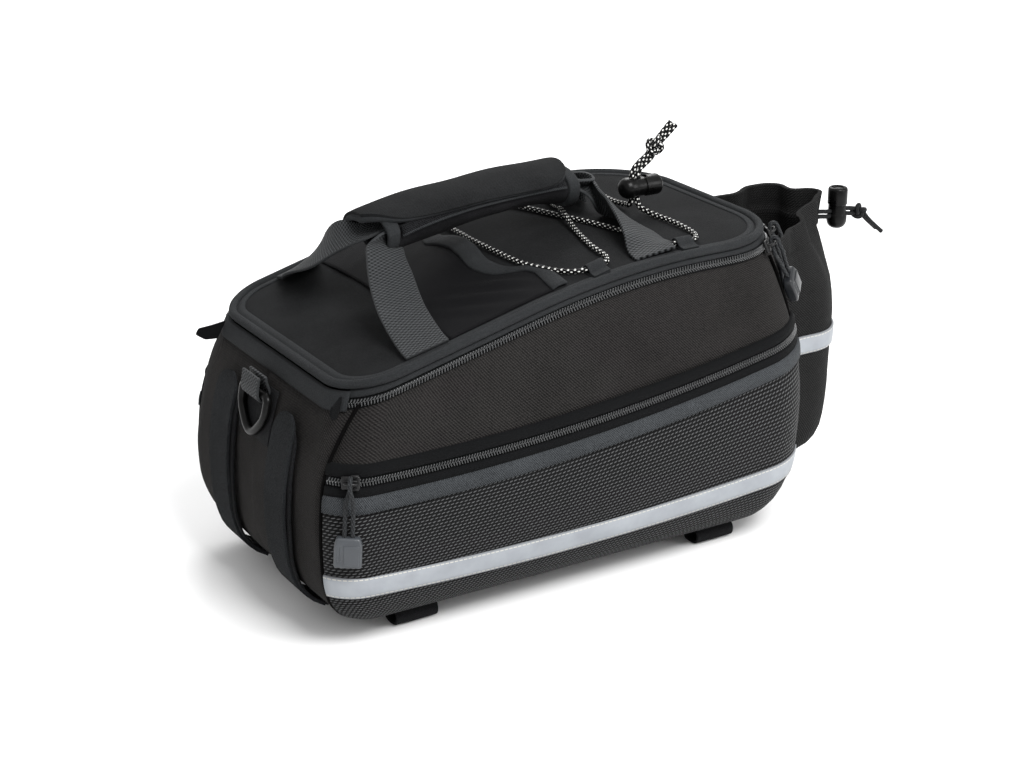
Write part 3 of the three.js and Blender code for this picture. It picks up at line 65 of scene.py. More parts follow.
class Profile:
    """A smooth curve through the rows of a table, with no overshoot between them."""

    def __init__(self, rows):
        self.keys = np.array([row[0] for row in rows], float)
        self.values = np.array([row[1] for row in rows], float)
        step = np.diff(self.keys)
        slope = np.diff(self.values) / step
        self.tangents = np.zeros(len(rows))
        for i in range(1, len(rows) - 1):
            before, after = slope[i - 1], slope[i]
            if before * after > 0:
                self.tangents[i] = 2 * before * after / (before + after)
        self.tangents[0], self.tangents[-1] = slope[0], slope[-1]

    def __call__(self, at):
        keys = self.keys
        at = min(max(at, keys[0]), keys[-1])
        i = min(int(np.searchsorted(keys, at, side="right")) - 1, len(keys) - 2)
        width = keys[i + 1] - keys[i]
        t = (at - keys[i]) / width
        a, b = self.values[i], self.values[i + 1]
        ta, tb = self.tangents[i] * width, self.tangents[i + 1] * width
        return ((2 * t**3 - 3 * t**2 + 1) * a + (t**3 - 2 * t**2 + t) * ta
                + (3 * t**2 - 2 * t**3) * b + (t**3 - t**2) * tb)


BASE_SHARE = Profile([(0, 1), (0.03, 0.62), (0.08, 0.34), (0.16, 0.13), (0.28, 0.02), (0.42, 0), (1, 0)])
RIM_SHARE = Profile([(0, 0), (0.42, 0), (0.56, 0.06), (0.70, 0.22), (0.82, 0.46), (0.92, 0.74), (1, 1)])


def blend(a, b, t):
    return a + (b - a) * t


def clamp(value, low, high):
    return min(max(value, low), high)


def rim_height(x):
    climbing = FRONT_HEIGHT + LID_SLOPE * (x - RIM[0])
    gap = max(SLOPE_BLEND - abs(climbing - REAR_HEIGHT), 0) / SLOPE_BLEND
    return min(climbing, REAR_HEIGHT) - gap * gap * SLOPE_BLEND / 4


def outline_point(shape, station):
    """A point on half of a rounded outline. Station 0 to 1 is the front end, 1 to 2 the front corner,
    2 to 3 the side, 3 to 4 the rear corner and 4 to 5 the rear end."""
    front, rear, half, front_corner, rear_corner, bow = shape
    leg = min(int(station), 4)
    t = station - leg
    turn = t * math.pi / 2
    x, y = rear, 0.0
    if leg == 0:
        x, y = front, -t * (half - front_corner)
    elif leg == 1:
        x = front + front_corner * (1 - math.cos(turn))
        y = -half + front_corner * (1 - math.sin(turn))
    elif leg == 2:
        x, y = blend(front + front_corner, rear - rear_corner, t), -half
    elif leg == 3:
        x = rear - rear_corner * (1 - math.sin(turn))
        y = -half + rear_corner * (1 - math.cos(turn))
    else:
        y = -(1 - t) * (half - rear_corner)
    along = (x - (front + rear) / 2) / ((rear - front) / 2)
    return x, y * (1 + bow / half * (1 - along * along))


def wall_shape(rise):
    return BELLY + (BASE - BELLY) * BASE_SHARE(rise) + (RIM - BELLY) * RIM_SHARE(rise)


def wall_base(side, station, height_at):
    x = outline_point(BELLY, station)[0]
    y = 0.0
    for _ in range(4):
        rise = min(height_at(x) / rim_height(x), 1)
        x, y = outline_point(wall_shape(rise), station)
    return np.array([x, -side * y, height_at(x)])


def wall_point(side, station, height_at, out, level=False):
    """A point on the wall, standing out from it squarely, or at its own level."""
    low, high = max(station - 0.02, 0), min(station + 0.02, 5)
    along = wall_base(side, high, height_at) - wall_base(side, low, height_at)
    above = wall_base(side, station, lambda x: height_at(x) + 1)
    below = wall_base(side, station, lambda x: height_at(x) - 1)
    up = above - below
    normal = np.cross(along, up)
    if level:
        normal[2] = 0
    normal *= -side / np.linalg.norm(normal)
    return wall_base(side, station, height_at) + normal * out


def stations(start, end, spacing=4.0):
    """Stations between two, closer together round the corners."""
    lengths = (66, 32, 244, 54, 52)
    marks = [start]
    while marks[-1] < end - 1e-6:
        leg = min(int(marks[-1] + 1e-6), 4)
        step = spacing / lengths[leg]
        marks.append(min(marks[-1] + step, leg + 1, end))
    return marks


def full_ring(spacing=4.0):
    """Places all the way round: near side from the front to the rear, then back along the far side."""
    half = stations(0, 5, spacing)
    return [(NEAR, s) for s in half] + [(FAR, s) for s in half[1:-1][::-1]]


def lid_gauge(x, y):
    """0 in the middle of the lid and 1 at its edge."""
    gauge = 0.0
    for (ax, ay), (bx, by) in zip(LID_RING, LID_RING[1:] + LID_RING[:1]):
        nx, ny = by - ay, ax - bx
        gauge = max(gauge, (nx * x + ny * y) / (nx * ax + ny * ay))
    return gauge


COARSE = [0, 0.5, 1, 1.25, 1.5, 1.75, 2, 2.17, 2.33, 2.5, 2.67, 2.83, 3, 3.2, 3.4, 3.6, 3.8, 4, 4.5, 5]
LID_RING = [(outline_point(LID, s)[0], -NEAR * outline_point(LID, s)[1]) for s in COARSE]
LID_RING += [(x, -y) for x, y in LID_RING[1:-1][::-1]]


def lid_top(x, y):
    return rim_height(x) + LID_CROWN * (1 - lid_gauge(x, y) ** 2)


def lid_point(x, y, lift=0.0):
    return np.array([x, y, lid_top(x, y) + lift])


# Curves through points


def smooth_path(points, count):
    """Points spread evenly along a centripetal curve through the given ones."""
    points = np.array(points, float)
    ends = [2 * points[0] - points[1], *points, 2 * points[-1] - points[-2]]
    fine = []
    for p0, p1, p2, p3 in zip(ends, ends[1:], ends[2:], ends[3:]):
        t0 = 0.0
        t1 = t0 + math.sqrt(np.linalg.norm(p1 - p0))
        t2 = t1 + math.sqrt(np.linalg.norm(p2 - p1))
        t3 = t2 + math.sqrt(np.linalg.norm(p3 - p2))
        for t in np.linspace(t1, t2, 24, endpoint=False):
            a = blend(p0, p1, (t - t0) / (t1 - t0))
            b = blend(p1, p2, (t - t1) / (t2 - t1))
            c = blend(p2, p3, (t - t2) / (t3 - t2))
            d = blend(a, b, (t - t0) / (t2 - t0))
            e = blend(b, c, (t - t1) / (t3 - t1))
            fine.append(blend(d, e, (t - t1) / (t2 - t1)))
    fine.append(points[-1])
    return even_path(np.array(fine), count)


def even_path(points, count):
    """The same line through evenly spaced points."""
    gone = np.concatenate([[0], np.cumsum(np.linalg.norm(np.diff(points, axis=0), axis=1))])
    marks = np.linspace(0, gone[-1], count)
    return np.stack([np.interp(marks, gone, points[:, k]) for k in range(3)], 1)


def unit(vector):
    return vector / max(np.linalg.norm(vector), 1e-9)


# Meshes


def select_only(obj):
    bpy.ops.object.select_all(action="DESELECT")
    obj.select_set(True)
    bpy.context.view_layer.objects.active = obj


def apply_modifier(obj, kind, **settings):
    modifier = obj.modifiers.new(kind.title(), kind)
    for key, value in settings.items():
        setattr(modifier, key, value)
    select_only(obj)
    bpy.ops.object.modifier_apply(modifier=modifier.name)


def new_object(name, points, faces, uvs=None):
    """A mesh object at the origin from points in millimetres. uvs has a pair per face corner, in metres."""
    mesh = bpy.data.meshes.new(name)
    mesh.from_pydata([tuple(p) for p in np.asarray(points, float) * MM], [], faces)
    if uvs is not None:
        layer = mesh.uv_layers.new(name="UVMap")
        layer.data.foreach_set("uv", np.asarray(uvs, np.float32).ravel())
    mesh.shade_smooth()
    obj = bpy.data.objects.new(name, mesh)
    bpy.context.scene.collection.objects.link(obj)
    return obj


def cloth_sheet(name, grid, wrap=False, flip=False):
    """A surface through rows of points, with its UV map measured along the cloth."""
    grid = np.asarray(grid, float)
    rows, columns = grid.shape[:2]
    around = np.concatenate([grid, grid[:, :1]], 1) if wrap else grid
    run = np.cumsum(np.linalg.norm(np.diff(around, axis=1), axis=2), axis=1).mean(0)
    u = np.concatenate([[0], run]) * MM
    rise = np.cumsum(np.linalg.norm(np.diff(grid, axis=0), axis=2), axis=0).mean(1)
    v = np.concatenate([[0], rise]) * MM
    faces, uvs = [], []
    for i in range(rows - 1):
        for j in range(columns if wrap else columns - 1):
            nxt = (j + 1) % columns
            corners = [(i, j, j), (i, nxt, j + 1), (i + 1, nxt, j + 1), (i + 1, j, j)]
            if flip:
                corners.reverse()
            faces.append([r * columns + c for r, c, _ in corners])
            uvs.extend([(u[k], v[r]) for r, _, k in corners])
    return new_object(name, grid.reshape(-1, 3), faces, uvs)


def thicken(obj, wall, offset=-1.0):
    apply_modifier(obj, "SOLIDIFY", thickness=wall * MM, offset=offset, use_even_offset=True)


def soften(obj, width, segments=2, angle=50):
    apply_modifier(obj, "BEVEL", width=width * MM, segments=segments, limit_method="ANGLE",
                   angle_limit=math.radians(angle), harden_normals=False)


def refine(obj, levels=1):
    apply_modifier(obj, "SUBSURF", levels=levels, render_levels=levels)


def crease_shading(obj, angle=40):
    select_only(obj)
    bpy.ops.object.shade_smooth_by_angle(angle=math.radians(angle))


def tube(name, points, radius, sides=12, closed=False, radii=None):
    """A round cord along a line of points, with its UV map along and round it."""
    points = np.asarray(points, float)
    count = len(points)
    if closed:
        tangents = np.roll(points, -1, 0) - np.roll(points, 1, 0)
    else:
        tangents = np.gradient(points, axis=0)
    tangents /= np.linalg.norm(tangents, axis=1)[:, None]
    start = np.cross(tangents[0], [0, 0, 1.0])
    if np.linalg.norm(start) < 0.1:
        start = np.cross(tangents[0], [0, 1.0, 0])
    normals = [unit(start)]
    for before, after in zip(tangents, tangents[1:]):
        axis = np.cross(before, after)
        angle = math.asin(clamp(np.linalg.norm(axis), 0, 1))
        turned = normals[-1]
        if angle > 1e-7:
            turned = np.array(Matrix.Rotation(angle, 3, Vector(axis)) @ Vector(turned))
        normals.append(unit(turned - after * np.dot(turned, after)))
    spin = 0.0
    if closed:
        back = np.dot(normals[-1], normals[0]), np.dot(np.cross(normals[-1], normals[0]), tangents[0])
        spin = math.atan2(back[1], back[0])
    grid = []
    for i, (point, tangent, normal) in enumerate(zip(points, tangents, normals)):
        side = np.cross(tangent, normal)
        thick = radius if radii is None else radii[i]
        turn = spin * i / count
        angles = [2 * math.pi * k / sides + turn for k in range(sides)]
        grid.append([point + thick * (math.cos(a) * normal + math.sin(a) * side) for a in angles])
    if closed:
        grid = np.array(grid + [grid[0]])
        obj = cloth_sheet(name, grid, wrap=True, flip=False)
        merge(obj)
        return obj
    grid = [np.repeat([points[0]], sides, 0), blend(points[0], np.array(grid[0]), 0.7), *grid,
            blend(points[-1], np.array(grid[-1]), 0.7), np.repeat([points[-1]], sides, 0)]
    grid[0] = grid[0] - tangents[0] * radius * 0.35
    grid[1] = grid[1] - tangents[0] * radius * 0.28
    grid[-2] = grid[-2] + tangents[-1] * radius * 0.28
    grid[-1] = grid[-1] + tangents[-1] * radius * 0.35
    obj = cloth_sheet(name, np.array(grid), wrap=True, flip=False)
    merge(obj)
    return obj


def merge(obj, distance=0.02):
    """Merges doubled points and turns the faces outwards."""
    work = bmesh.new()
    work.from_mesh(obj.data)
    bmesh.ops.remove_doubles(work, verts=work.verts, dist=distance * MM)
    bmesh.ops.recalc_face_normals(work, faces=work.faces)
    work.to_mesh(obj.data)
    work.free()


def joined(name, parts):
    """Several objects as one."""
    bpy.ops.object.select_all(action="DESELECT")
    for part in parts:
        part.select_set(True)
    bpy.context.view_layer.objects.active = parts[0]
    bpy.ops.object.join()
    parts[0].name = name
    return parts[0]


def copies(name, template, places):
    """One object made of copies of a small one, each placed by a 4 by 4 matrix in millimetres."""
    count = len(template.data.vertices)
    points = np.array([v.co for v in template.data.vertices]) / MM
    faces = [list(p.vertices) for p in template.data.polygons]
    ones = np.concatenate([points, np.ones((count, 1))], 1)
    all_points = np.concatenate([(ones @ np.array(place).T)[:, :3] for place in places])
    all_faces = [[i + k * count for i in face] for k in range(len(places)) for face in faces]
    bpy.data.objects.remove(template)
    return new_object(name, all_points, all_faces)


def place_matrix(x_axis, y_axis, z_axis, origin):
    matrix = np.eye(4)
    matrix[:3, 0], matrix[:3, 1], matrix[:3, 2], matrix[:3, 3] = x_axis, y_axis, z_axis, origin
    return matrix


def finished(obj, material, nodes=(), body="bag"):
    obj.data.materials.clear()
    obj.data.materials.append(material)
    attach(obj, body)
    if nodes:
        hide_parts(*nodes)
    return obj


# Camera at the photograph's angle
CAMERA_TURN = math.radians(-31.0)
CAMERA_RISE = math.radians(21.2)
CAMERA_DISTANCE = 1.150
CAMERA_AIM = Vector((0.005, 0.0, 0.078))
CAMERA_LENS = 74.8


def build_camera():
    back = Vector((math.sin(CAMERA_TURN) * math.cos(CAMERA_RISE),
                   -math.cos(CAMERA_TURN) * math.cos(CAMERA_RISE), math.sin(CAMERA_RISE)))
    data = bpy.data.cameras.new("Camera")
    data.lens = CAMERA_LENS
    data.sensor_width = 36.0
    camera = bpy.data.objects.new("Camera", data)
    bpy.context.scene.collection.objects.link(camera)
    camera.location = CAMERA_AIM + back * CAMERA_DISTANCE
    camera.rotation_mode = "QUATERNION"
    camera.rotation_quaternion = (-back).to_track_quat("-Z", "Y")
    bpy.context.scene.camera = camera


build_camera()


# Materials


def srgb(red, green, blue):
    linear = []
    for channel in (red, green, blue):
        c = channel / 255
        linear.append(c / 12.92 if c <= 0.04045 else ((c + 0.055) / 1.055) ** 2.4)
    return (*linear, 1.0)


class Wiring:
    """Adds and links shader nodes."""

    def __init__(self, tree):
        self.tree = tree

    def node(self, kind, **settings):
        made = self.tree.nodes.new(kind)
        for key, value in settings.items():
            setattr(made, key, value)
        return made

    def link(self, source, target):
        self.tree.links.new(source, target)

    def feed(self, socket, value):
        if isinstance(value, bpy.types.NodeSocket):
            self.link(value, socket)
        elif value is not None:
            socket.default_value = value

    def math(self, operation, a, b=None, c=None):
        made = self.node("ShaderNodeMath", operation=operation)
        for socket, value in zip(made.inputs, (a, b, c)):
            self.feed(socket, value)
        return made.outputs[0]

    def mix(self, share, a, b):
        made = self.node("ShaderNodeMix", data_type="RGBA")
        self.feed(made.inputs["Factor"], share)
        self.feed(made.inputs["A"], a)
        self.feed(made.inputs["B"], b)
        return made.outputs["Result"]

    def noise(self, vector, scale, detail=2.0, rough=0.5):
        made = self.node("ShaderNodeTexNoise")
        self.feed(made.inputs["Vector"], vector)
        made.inputs["Scale"].default_value = scale
        made.inputs["Detail"].default_value = detail
        made.inputs["Roughness"].default_value = rough
        return made.outputs["Fac"]

    def spread(self, value, low, high, to_low=0.0, to_high=1.0):
        made = self.node("ShaderNodeMapRange")
        self.feed(made.inputs["Value"], value)
        for name, number in (("From Min", low), ("From Max", high), ("To Min", to_low), ("To Max", to_high)):
            made.inputs[name].default_value = number
        return made.outputs["Result"]


def new_group(name, inputs, outputs):
    tree = bpy.data.node_groups.new(name, "ShaderNodeTree")
    for label, kind, value in inputs:
        socket = tree.interface.new_socket(label, in_out="INPUT", socket_type=kind)
        if value is not None:
            socket.default_value = value
    for label, kind in outputs:
        tree.interface.new_socket(label, in_out="OUTPUT", socket_type=kind)
    wiring = Wiring(tree)
    return tree, wiring, wiring.node("NodeGroupInput").outputs, wiring.node("NodeGroupOutput").inputs


FLOAT = "NodeSocketFloat"
COLOR = "NodeSocketColor"


def threads_group():
    """Woven cloth: crossing threads of a pitch, slanted for twill, with painted shade: the thread crests
    painted lighter and the gaps between them darker, plus random speckle and patches of tone.
    """
    tree, w, given, out = new_group(
        "Threads",
        [("Pitch", FLOAT, 0.001), ("Slant", FLOAT, 0.0), ("Stretch", FLOAT, 1.0), ("Dark", COLOR, None),
         ("Light", COLOR, None), ("Speckle", FLOAT, 0.4), ("Patches", FLOAT, 0.25)],
        [("Color", COLOR), ("Height", FLOAT)],
    )
    uv = w.node("ShaderNodeUVMap", uv_map="UVMap").outputs[0]
    split = w.node("ShaderNodeSeparateXYZ")
    w.link(uv, split.inputs[0])
    place = w.node("ShaderNodeTexCoord").outputs["Object"]
    u = w.math("DIVIDE", split.outputs["X"], given["Pitch"])
    v = w.math("DIVIDE", w.math("MULTIPLY", split.outputs["Y"], given["Stretch"]), given["Pitch"])
    leaned = w.math("ADD", u, w.math("MULTIPLY", v, given["Slant"]))
    across = w.math("SINE", w.math("MULTIPLY", leaned, math.tau))
    along = w.math("SINE", w.math("MULTIPLY", v, math.tau))
    plain = w.math("MULTIPLY", across, along)
    twill = w.math("ADD", w.math("MULTIPLY", across, 0.75), w.math("MULTIPLY", along, 0.25))
    height = w.math("ADD", w.math("MULTIPLY", plain, w.math("SUBTRACT", 1.0, given["Slant"])),
                    w.math("MULTIPLY", twill, given["Slant"]))
    fine = w.noise(place, 1400.0, 1.0)
    broad = w.noise(place, 28.0, 3.0, 0.6)
    # Painted shade: the tone follows the thread height, dark in the gaps between threads and light on their
    # crests
    tone = w.math("MULTIPLY_ADD", height, 0.38, 0.4)
    tone = w.math("ADD", tone, w.math("MULTIPLY", w.math("SUBTRACT", fine, 0.5), given["Speckle"]))
    tone = w.math("ADD", tone, w.math("MULTIPLY", w.math("SUBTRACT", broad, 0.5), given["Patches"]))
    made = w.node("ShaderNodeMix", data_type="RGBA", clamp_factor=True)
    w.link(tone, made.inputs["Factor"])
    w.link(given["Dark"], made.inputs["A"])
    w.link(given["Light"], made.inputs["B"])
    w.link(made.outputs["Result"], out["Color"])
    w.link(w.math("ADD", w.math("MULTIPLY", height, 0.5), w.math("MULTIPLY", fine, 0.5)), out["Height"])
    return tree


THREADS = threads_group()


def new_material(name, rough, sheen=0.0, specular=0.4, coat=0.0):
    material = bpy.data.materials.new(name)
    material.use_nodes = True
    wiring = Wiring(material.node_tree)
    shader = material.node_tree.nodes["Principled BSDF"]
    shader.inputs["Roughness"].default_value = rough
    shader.inputs["Specular IOR Level"].default_value = specular
    shader.inputs["Sheen Weight"].default_value = sheen
    shader.inputs["Sheen Roughness"].default_value = 0.5
    shader.inputs["Coat Weight"].default_value = coat
    shader.inputs["Coat Roughness"].default_value = 0.2
    return material, wiring, shader


def bump(wiring, shader, height, distance, strength=1.0):
    made = wiring.node("ShaderNodeBump")
    made.inputs["Distance"].default_value = distance * MM
    made.inputs["Strength"].default_value = strength
    wiring.link(height, made.inputs["Height"])
    wiring.link(made.outputs["Normal"], shader.inputs["Normal"])


def woven(name, dark, light, pitch, slant=0.0, stretch=1.0, depth=0.2, rough=0.8, sheen=0.15, speckle=0.4,
          patches=0.25, specular=0.4):
    material, w, shader = new_material(name, rough, sheen, specular)
    group = w.node("ShaderNodeGroup", node_tree=THREADS)
    group.inputs["Pitch"].default_value = pitch * MM
    group.inputs["Slant"].default_value = slant
    group.inputs["Stretch"].default_value = stretch
    group.inputs["Dark"].default_value = srgb(*dark)
    group.inputs["Light"].default_value = srgb(*light)
    group.inputs["Speckle"].default_value = speckle
    group.inputs["Patches"].default_value = patches
    w.link(group.outputs["Color"], shader.inputs["Base Color"])
    bump(w, shader, group.outputs["Height"], depth)
    return material


def moulded(name, color, rough, coat=0.0, grain=0.05, specular=0.5):
    material, w, shader = new_material(name, rough, 0.0, specular, coat)
    place = w.node("ShaderNodeTexCoord").outputs["Object"]
    wear = w.noise(place, 90.0, 4.0, 0.6)
    lighter = tuple(min(c + 14, 255) for c in color)
    w.link(w.mix(w.spread(wear, 0.35, 0.75, 0.0, 0.6), srgb(*color), srgb(*lighter)),
           shader.inputs["Base Color"])
    w.link(w.spread(wear, 0.3, 0.7, rough * 0.85, rough * 1.2), shader.inputs["Roughness"])
    bump(w, shader, w.noise(place, 2600.0, 1.0), grain)
    return material


def mesh_cloth():
    """Padded mesh: rows of short raised dashes over a dark ground, the dashes painted light grey as a painted
    sheen and the holes painted near black as painted shade.
    """
    material, w, shader = new_material("Padded mesh", 0.6, 0.01, 0.12)
    uv = w.node("ShaderNodeUVMap", uv_map="UVMap").outputs[0]
    split = w.node("ShaderNodeSeparateXYZ")
    w.link(uv, split.inputs[0])
    pitch_u, pitch_v = 2.5 * MM, 1.9 * MM
    row = w.math("DIVIDE", split.outputs["Y"], pitch_v)
    odd = w.math("MULTIPLY", w.math("FLOORED_MODULO", w.math("FLOOR", row), 2.0), 0.5)
    column = w.math("ADD", w.math("DIVIDE", split.outputs["X"], pitch_u), odd)
    cell_u = w.math("SUBTRACT", w.math("FRACT", column), 0.5)
    cell_v = w.math("SUBTRACT", w.math("FRACT", row), 0.5)
    # Each dash leans a little and tapers to its ends
    lean = w.math("SUBTRACT", cell_v, w.math("MULTIPLY", cell_u, 0.35))
    reach = w.math("ADD", w.math("POWER", w.math("ABSOLUTE", w.math("MULTIPLY", cell_u, 2.1)), 3.0),
                   w.math("POWER", w.math("ABSOLUTE", w.math("MULTIPLY", lean, 3.6)), 2.0))
    dash = w.spread(reach, 0.8, 0.1)
    hole = w.spread(w.math("ABSOLUTE", w.math("ADD", lean, 0.42)), 0.0, 0.2, 1.0, 0.0)
    place = w.node("ShaderNodeTexCoord").outputs["Object"]
    strands = w.noise(place, 1800.0, 1.0)
    # Painted sheen: the raised dashes are painted light grey
    shine = w.math("MULTIPLY", dash, w.spread(strands, 0.25, 0.75, 0.55, 1.0))
    # Painted shade: the holes are painted near black
    ground = w.mix(hole, srgb(12, 12, 13), srgb(2, 2, 2))
    w.link(w.mix(shine, ground, srgb(92, 93, 94)), shader.inputs["Base Color"])
    w.link(w.spread(dash, 0.0, 1.0, 0.8, 0.45), shader.inputs["Roughness"])
    bump(w, shader, w.math("SUBTRACT", dash, w.math("MULTIPLY", hole, 0.6)), 0.55)
    return material


def flecked_cord():
    """Braided elastic: black, with pale flecks along the braid."""
    material, w, shader = new_material("Flecked cord", 0.55, 0.01, 0.12)
    uv = w.node("ShaderNodeUVMap", uv_map="UVMap").outputs[0]
    split = w.node("ShaderNodeSeparateXYZ")
    w.link(uv, split.inputs[0])
    round_count, pitch = 4.0, 3.5 * MM
    around = w.math("DIVIDE", split.outputs["X"], math.pi * 3.0 * MM / round_count)
    along = w.math("DIVIDE", split.outputs["Y"], pitch)
    column = w.math("SINE", w.math("MULTIPLY", around, math.tau))
    row = w.math("SINE", w.math("MULTIPLY", along, math.tau))
    fleck = w.spread(w.math("MULTIPLY", column, row), 0.46, 0.6)
    w.link(w.mix(fleck, srgb(8, 8, 9), srgb(226, 226, 222)), shader.inputs["Base Color"])
    bump(w, shader, w.math("ABSOLUTE", w.math("MULTIPLY", column, row)), 0.22)
    return material


def reflective_tape():
    """Silver tape with a fine cross weave, a stitched line and a bound edge at each side."""
    material, w, shader = new_material("Reflective tape", 0.5, 0.0, 0.3)
    uv = w.node("ShaderNodeUVMap", uv_map="UVMap").outputs[0]
    split = w.node("ShaderNodeSeparateXYZ")
    w.link(uv, split.inputs[0])
    across = w.node("ShaderNodeAttribute", attribute_name="across").outputs["Fac"]
    edge = w.math("ABSOLUTE", across)
    stitch_line = w.spread(w.math("ABSOLUTE", w.math("SUBTRACT", edge, 0.8)), 0.035, 0.06, 1.0, 0.0)
    dashes = w.spread(w.math("SINE", w.math("MULTIPLY", split.outputs["X"], math.tau / (2.6 * MM))), -0.75,
                      -0.5)
    stitch = w.math("MULTIPLY", stitch_line, dashes)
    ribs = w.math("SINE", w.math("MULTIPLY", split.outputs["Y"], math.tau / (0.8 * MM)))
    place = w.node("ShaderNodeTexCoord").outputs["Object"]
    broad = w.noise(place, 60.0, 3.0, 0.6)
    silver = w.mix(w.spread(broad, 0.3, 0.7), srgb(134, 138, 143), srgb(150, 154, 159))
    border = w.spread(edge, 0.86, 0.9)
    toned = w.mix(border, silver, srgb(122, 124, 127))
    w.link(w.mix(stitch, toned, srgb(188, 186, 180)), shader.inputs["Base Color"])
    height = w.math("ADD", w.math("MULTIPLY", ribs, 0.12), w.math("MULTIPLY", stitch, 1.0))
    bump(w, shader, height, 0.25)
    return material


TWILL = woven("Coarse twill", (6, 6, 6), (52, 50, 49), 1.4, 0.8, 1.0, 0.45, 0.85, 0.01, 0.6, 0.35, 0.08)
TWILL_DARK = woven("Pocket twill", (6, 6, 6), (46, 46, 46), 1.4, 0.8, 1.0, 0.45, 0.85, 0.01, 0.6, 0.35, 0.07)
LID_CLOTH = woven("Lid cloth", (10, 10, 11), (40, 41, 42), 0.9, 0.0, 1.0, 0.22, 0.85, 0.01, 0.7, 0.7, 0.05)
STRETCH = woven("Stretch knit", (6, 6, 7), (22, 22, 24), 0.7, 0.0, 1.4, 0.1, 0.75, 0.01, 0.25, 0.5, 0.05)
BINDING = woven("Binding tape", (17, 18, 19), (60, 62, 64), 1.0, 0.0, 2.2, 0.25, 0.75, 0.01, 0.5, 0.3, 0.08)
BINDING_DARK = woven("Grip cloth", (9, 9, 10), (38, 38, 40), 0.7, 0.0, 1.0, 0.14, 0.85, 0.01, 0.6, 0.5, 0.05)
WEBBING = woven("Ribbed webbing", (4, 5, 5), (74, 76, 78), 1.8, 0.0, 0.62, 0.55, 0.6, 0.01, 0.3, 0.15, 0.12)
TAPE = woven("Zip tape", (5, 5, 6), (25, 26, 27), 0.7, 0.0, 1.6, 0.14, 0.8, 0.01, 0.3, 0.2, 0.05)
GROSGRAIN = woven("Woven tape", (22, 24, 26), (78, 81, 84), 1.1, 0.0, 0.8, 0.3, 0.7, 0.01, 0.8, 0.3, 0.08)
FELT = woven("Felted tape", (16, 17, 18), (46, 48, 50), 0.7, 0.0, 1.0, 0.25, 0.95, 0.02, 1.4, 0.5, 0.04)
FELT_DARK = woven("Dark felted tape", (9, 9, 10), (32, 32, 34), 0.8, 0.0, 1.0, 0.4, 0.9, 0.02, 1.4, 0.35,
                  0.04)
HOOK = woven("Hook tape", (3, 3, 4), (36, 37, 39), 1.3, 0.0, 1.0, 0.5, 0.7, 0.01, 1.2, 0.2, 0.08)
TEETH = moulded("Zip coil", (42, 43, 44), 0.22, 0.3, 0.03, 0.5)
SLIDER_METAL = moulded("Blackened slider", (8, 8, 9), 0.35, 0.0, 0.04, 0.3)
BLACK_PLASTIC = moulded("Black plastic", (3, 3, 3), 0.3, 0.0, 0.03, 0.16)
GREY_PLASTIC = moulded("Grey plastic", (58, 61, 65), 0.38, 0.1, 0.06, 0.4)
# The lid pulls' ends: the side pulls' grey plastic, painted darker as painted shade
SHADED_GREY_PLASTIC = moulded("Shaded grey plastic", (24, 26, 29), 0.34, 0.1, 0.05, 0.35)
PULL_CORD = woven("Pull cord", (4, 4, 5), (62, 64, 66), 1.5, 0.5, 1.0, 0.3, 0.6, 0.01, 0.3, 0.1, 0.1)
CORD_DARK = woven("Dark cord", (4, 4, 5), (38, 39, 40), 1.4, 0.5, 1.0, 0.25, 0.6, 0.01, 0.3, 0.1, 0.1)
# The corner seams' line: a dark joint, painted darker still as painted shade in the tuck
SEAM_SHADE = woven("Seam joint shade", (3, 3, 3), (14, 13, 13), 0.8, 0.0, 1.0, 0.1, 0.9, 0.0, 0.3, 0.2, 0.03)
MESH_CLOTH = mesh_cloth()
FLECKED = flecked_cord()
SILVER = reflective_tape()


# Cords

BUNGEE = 3.0
STRAND_LIFT = BUNGEE / 2 + 0.5
CROSS_LIFT = STRAND_LIFT + BUNGEE + 0.5
LOOP_TAPE = 1.2
LOOP_EDGE = 4.0
LOOP_Y = LID_HALF - LOOP_EDGE - BUNGEE / 2 - CLEARANCE - LOOP_TAPE
LOOP_LIFT = BUNGEE / 2 + CLEARANCE + 0.5
LOCK_RADIUS = 5.7
LOCK_SLOT = 9.0
LID_LOCK = np.array([65.0, -12.0, 181.0])
LID_KNOT = np.array([86.5, -12.0, 202.0])
KNOT_UP = unit(np.array([0.55, 0.0, 0.84]))
TAIL_WAY = unit(np.array([0.68, -0.1, 0.72]))
CAMERA_SIDE = np.array([0.86, -0.51, 0.0])

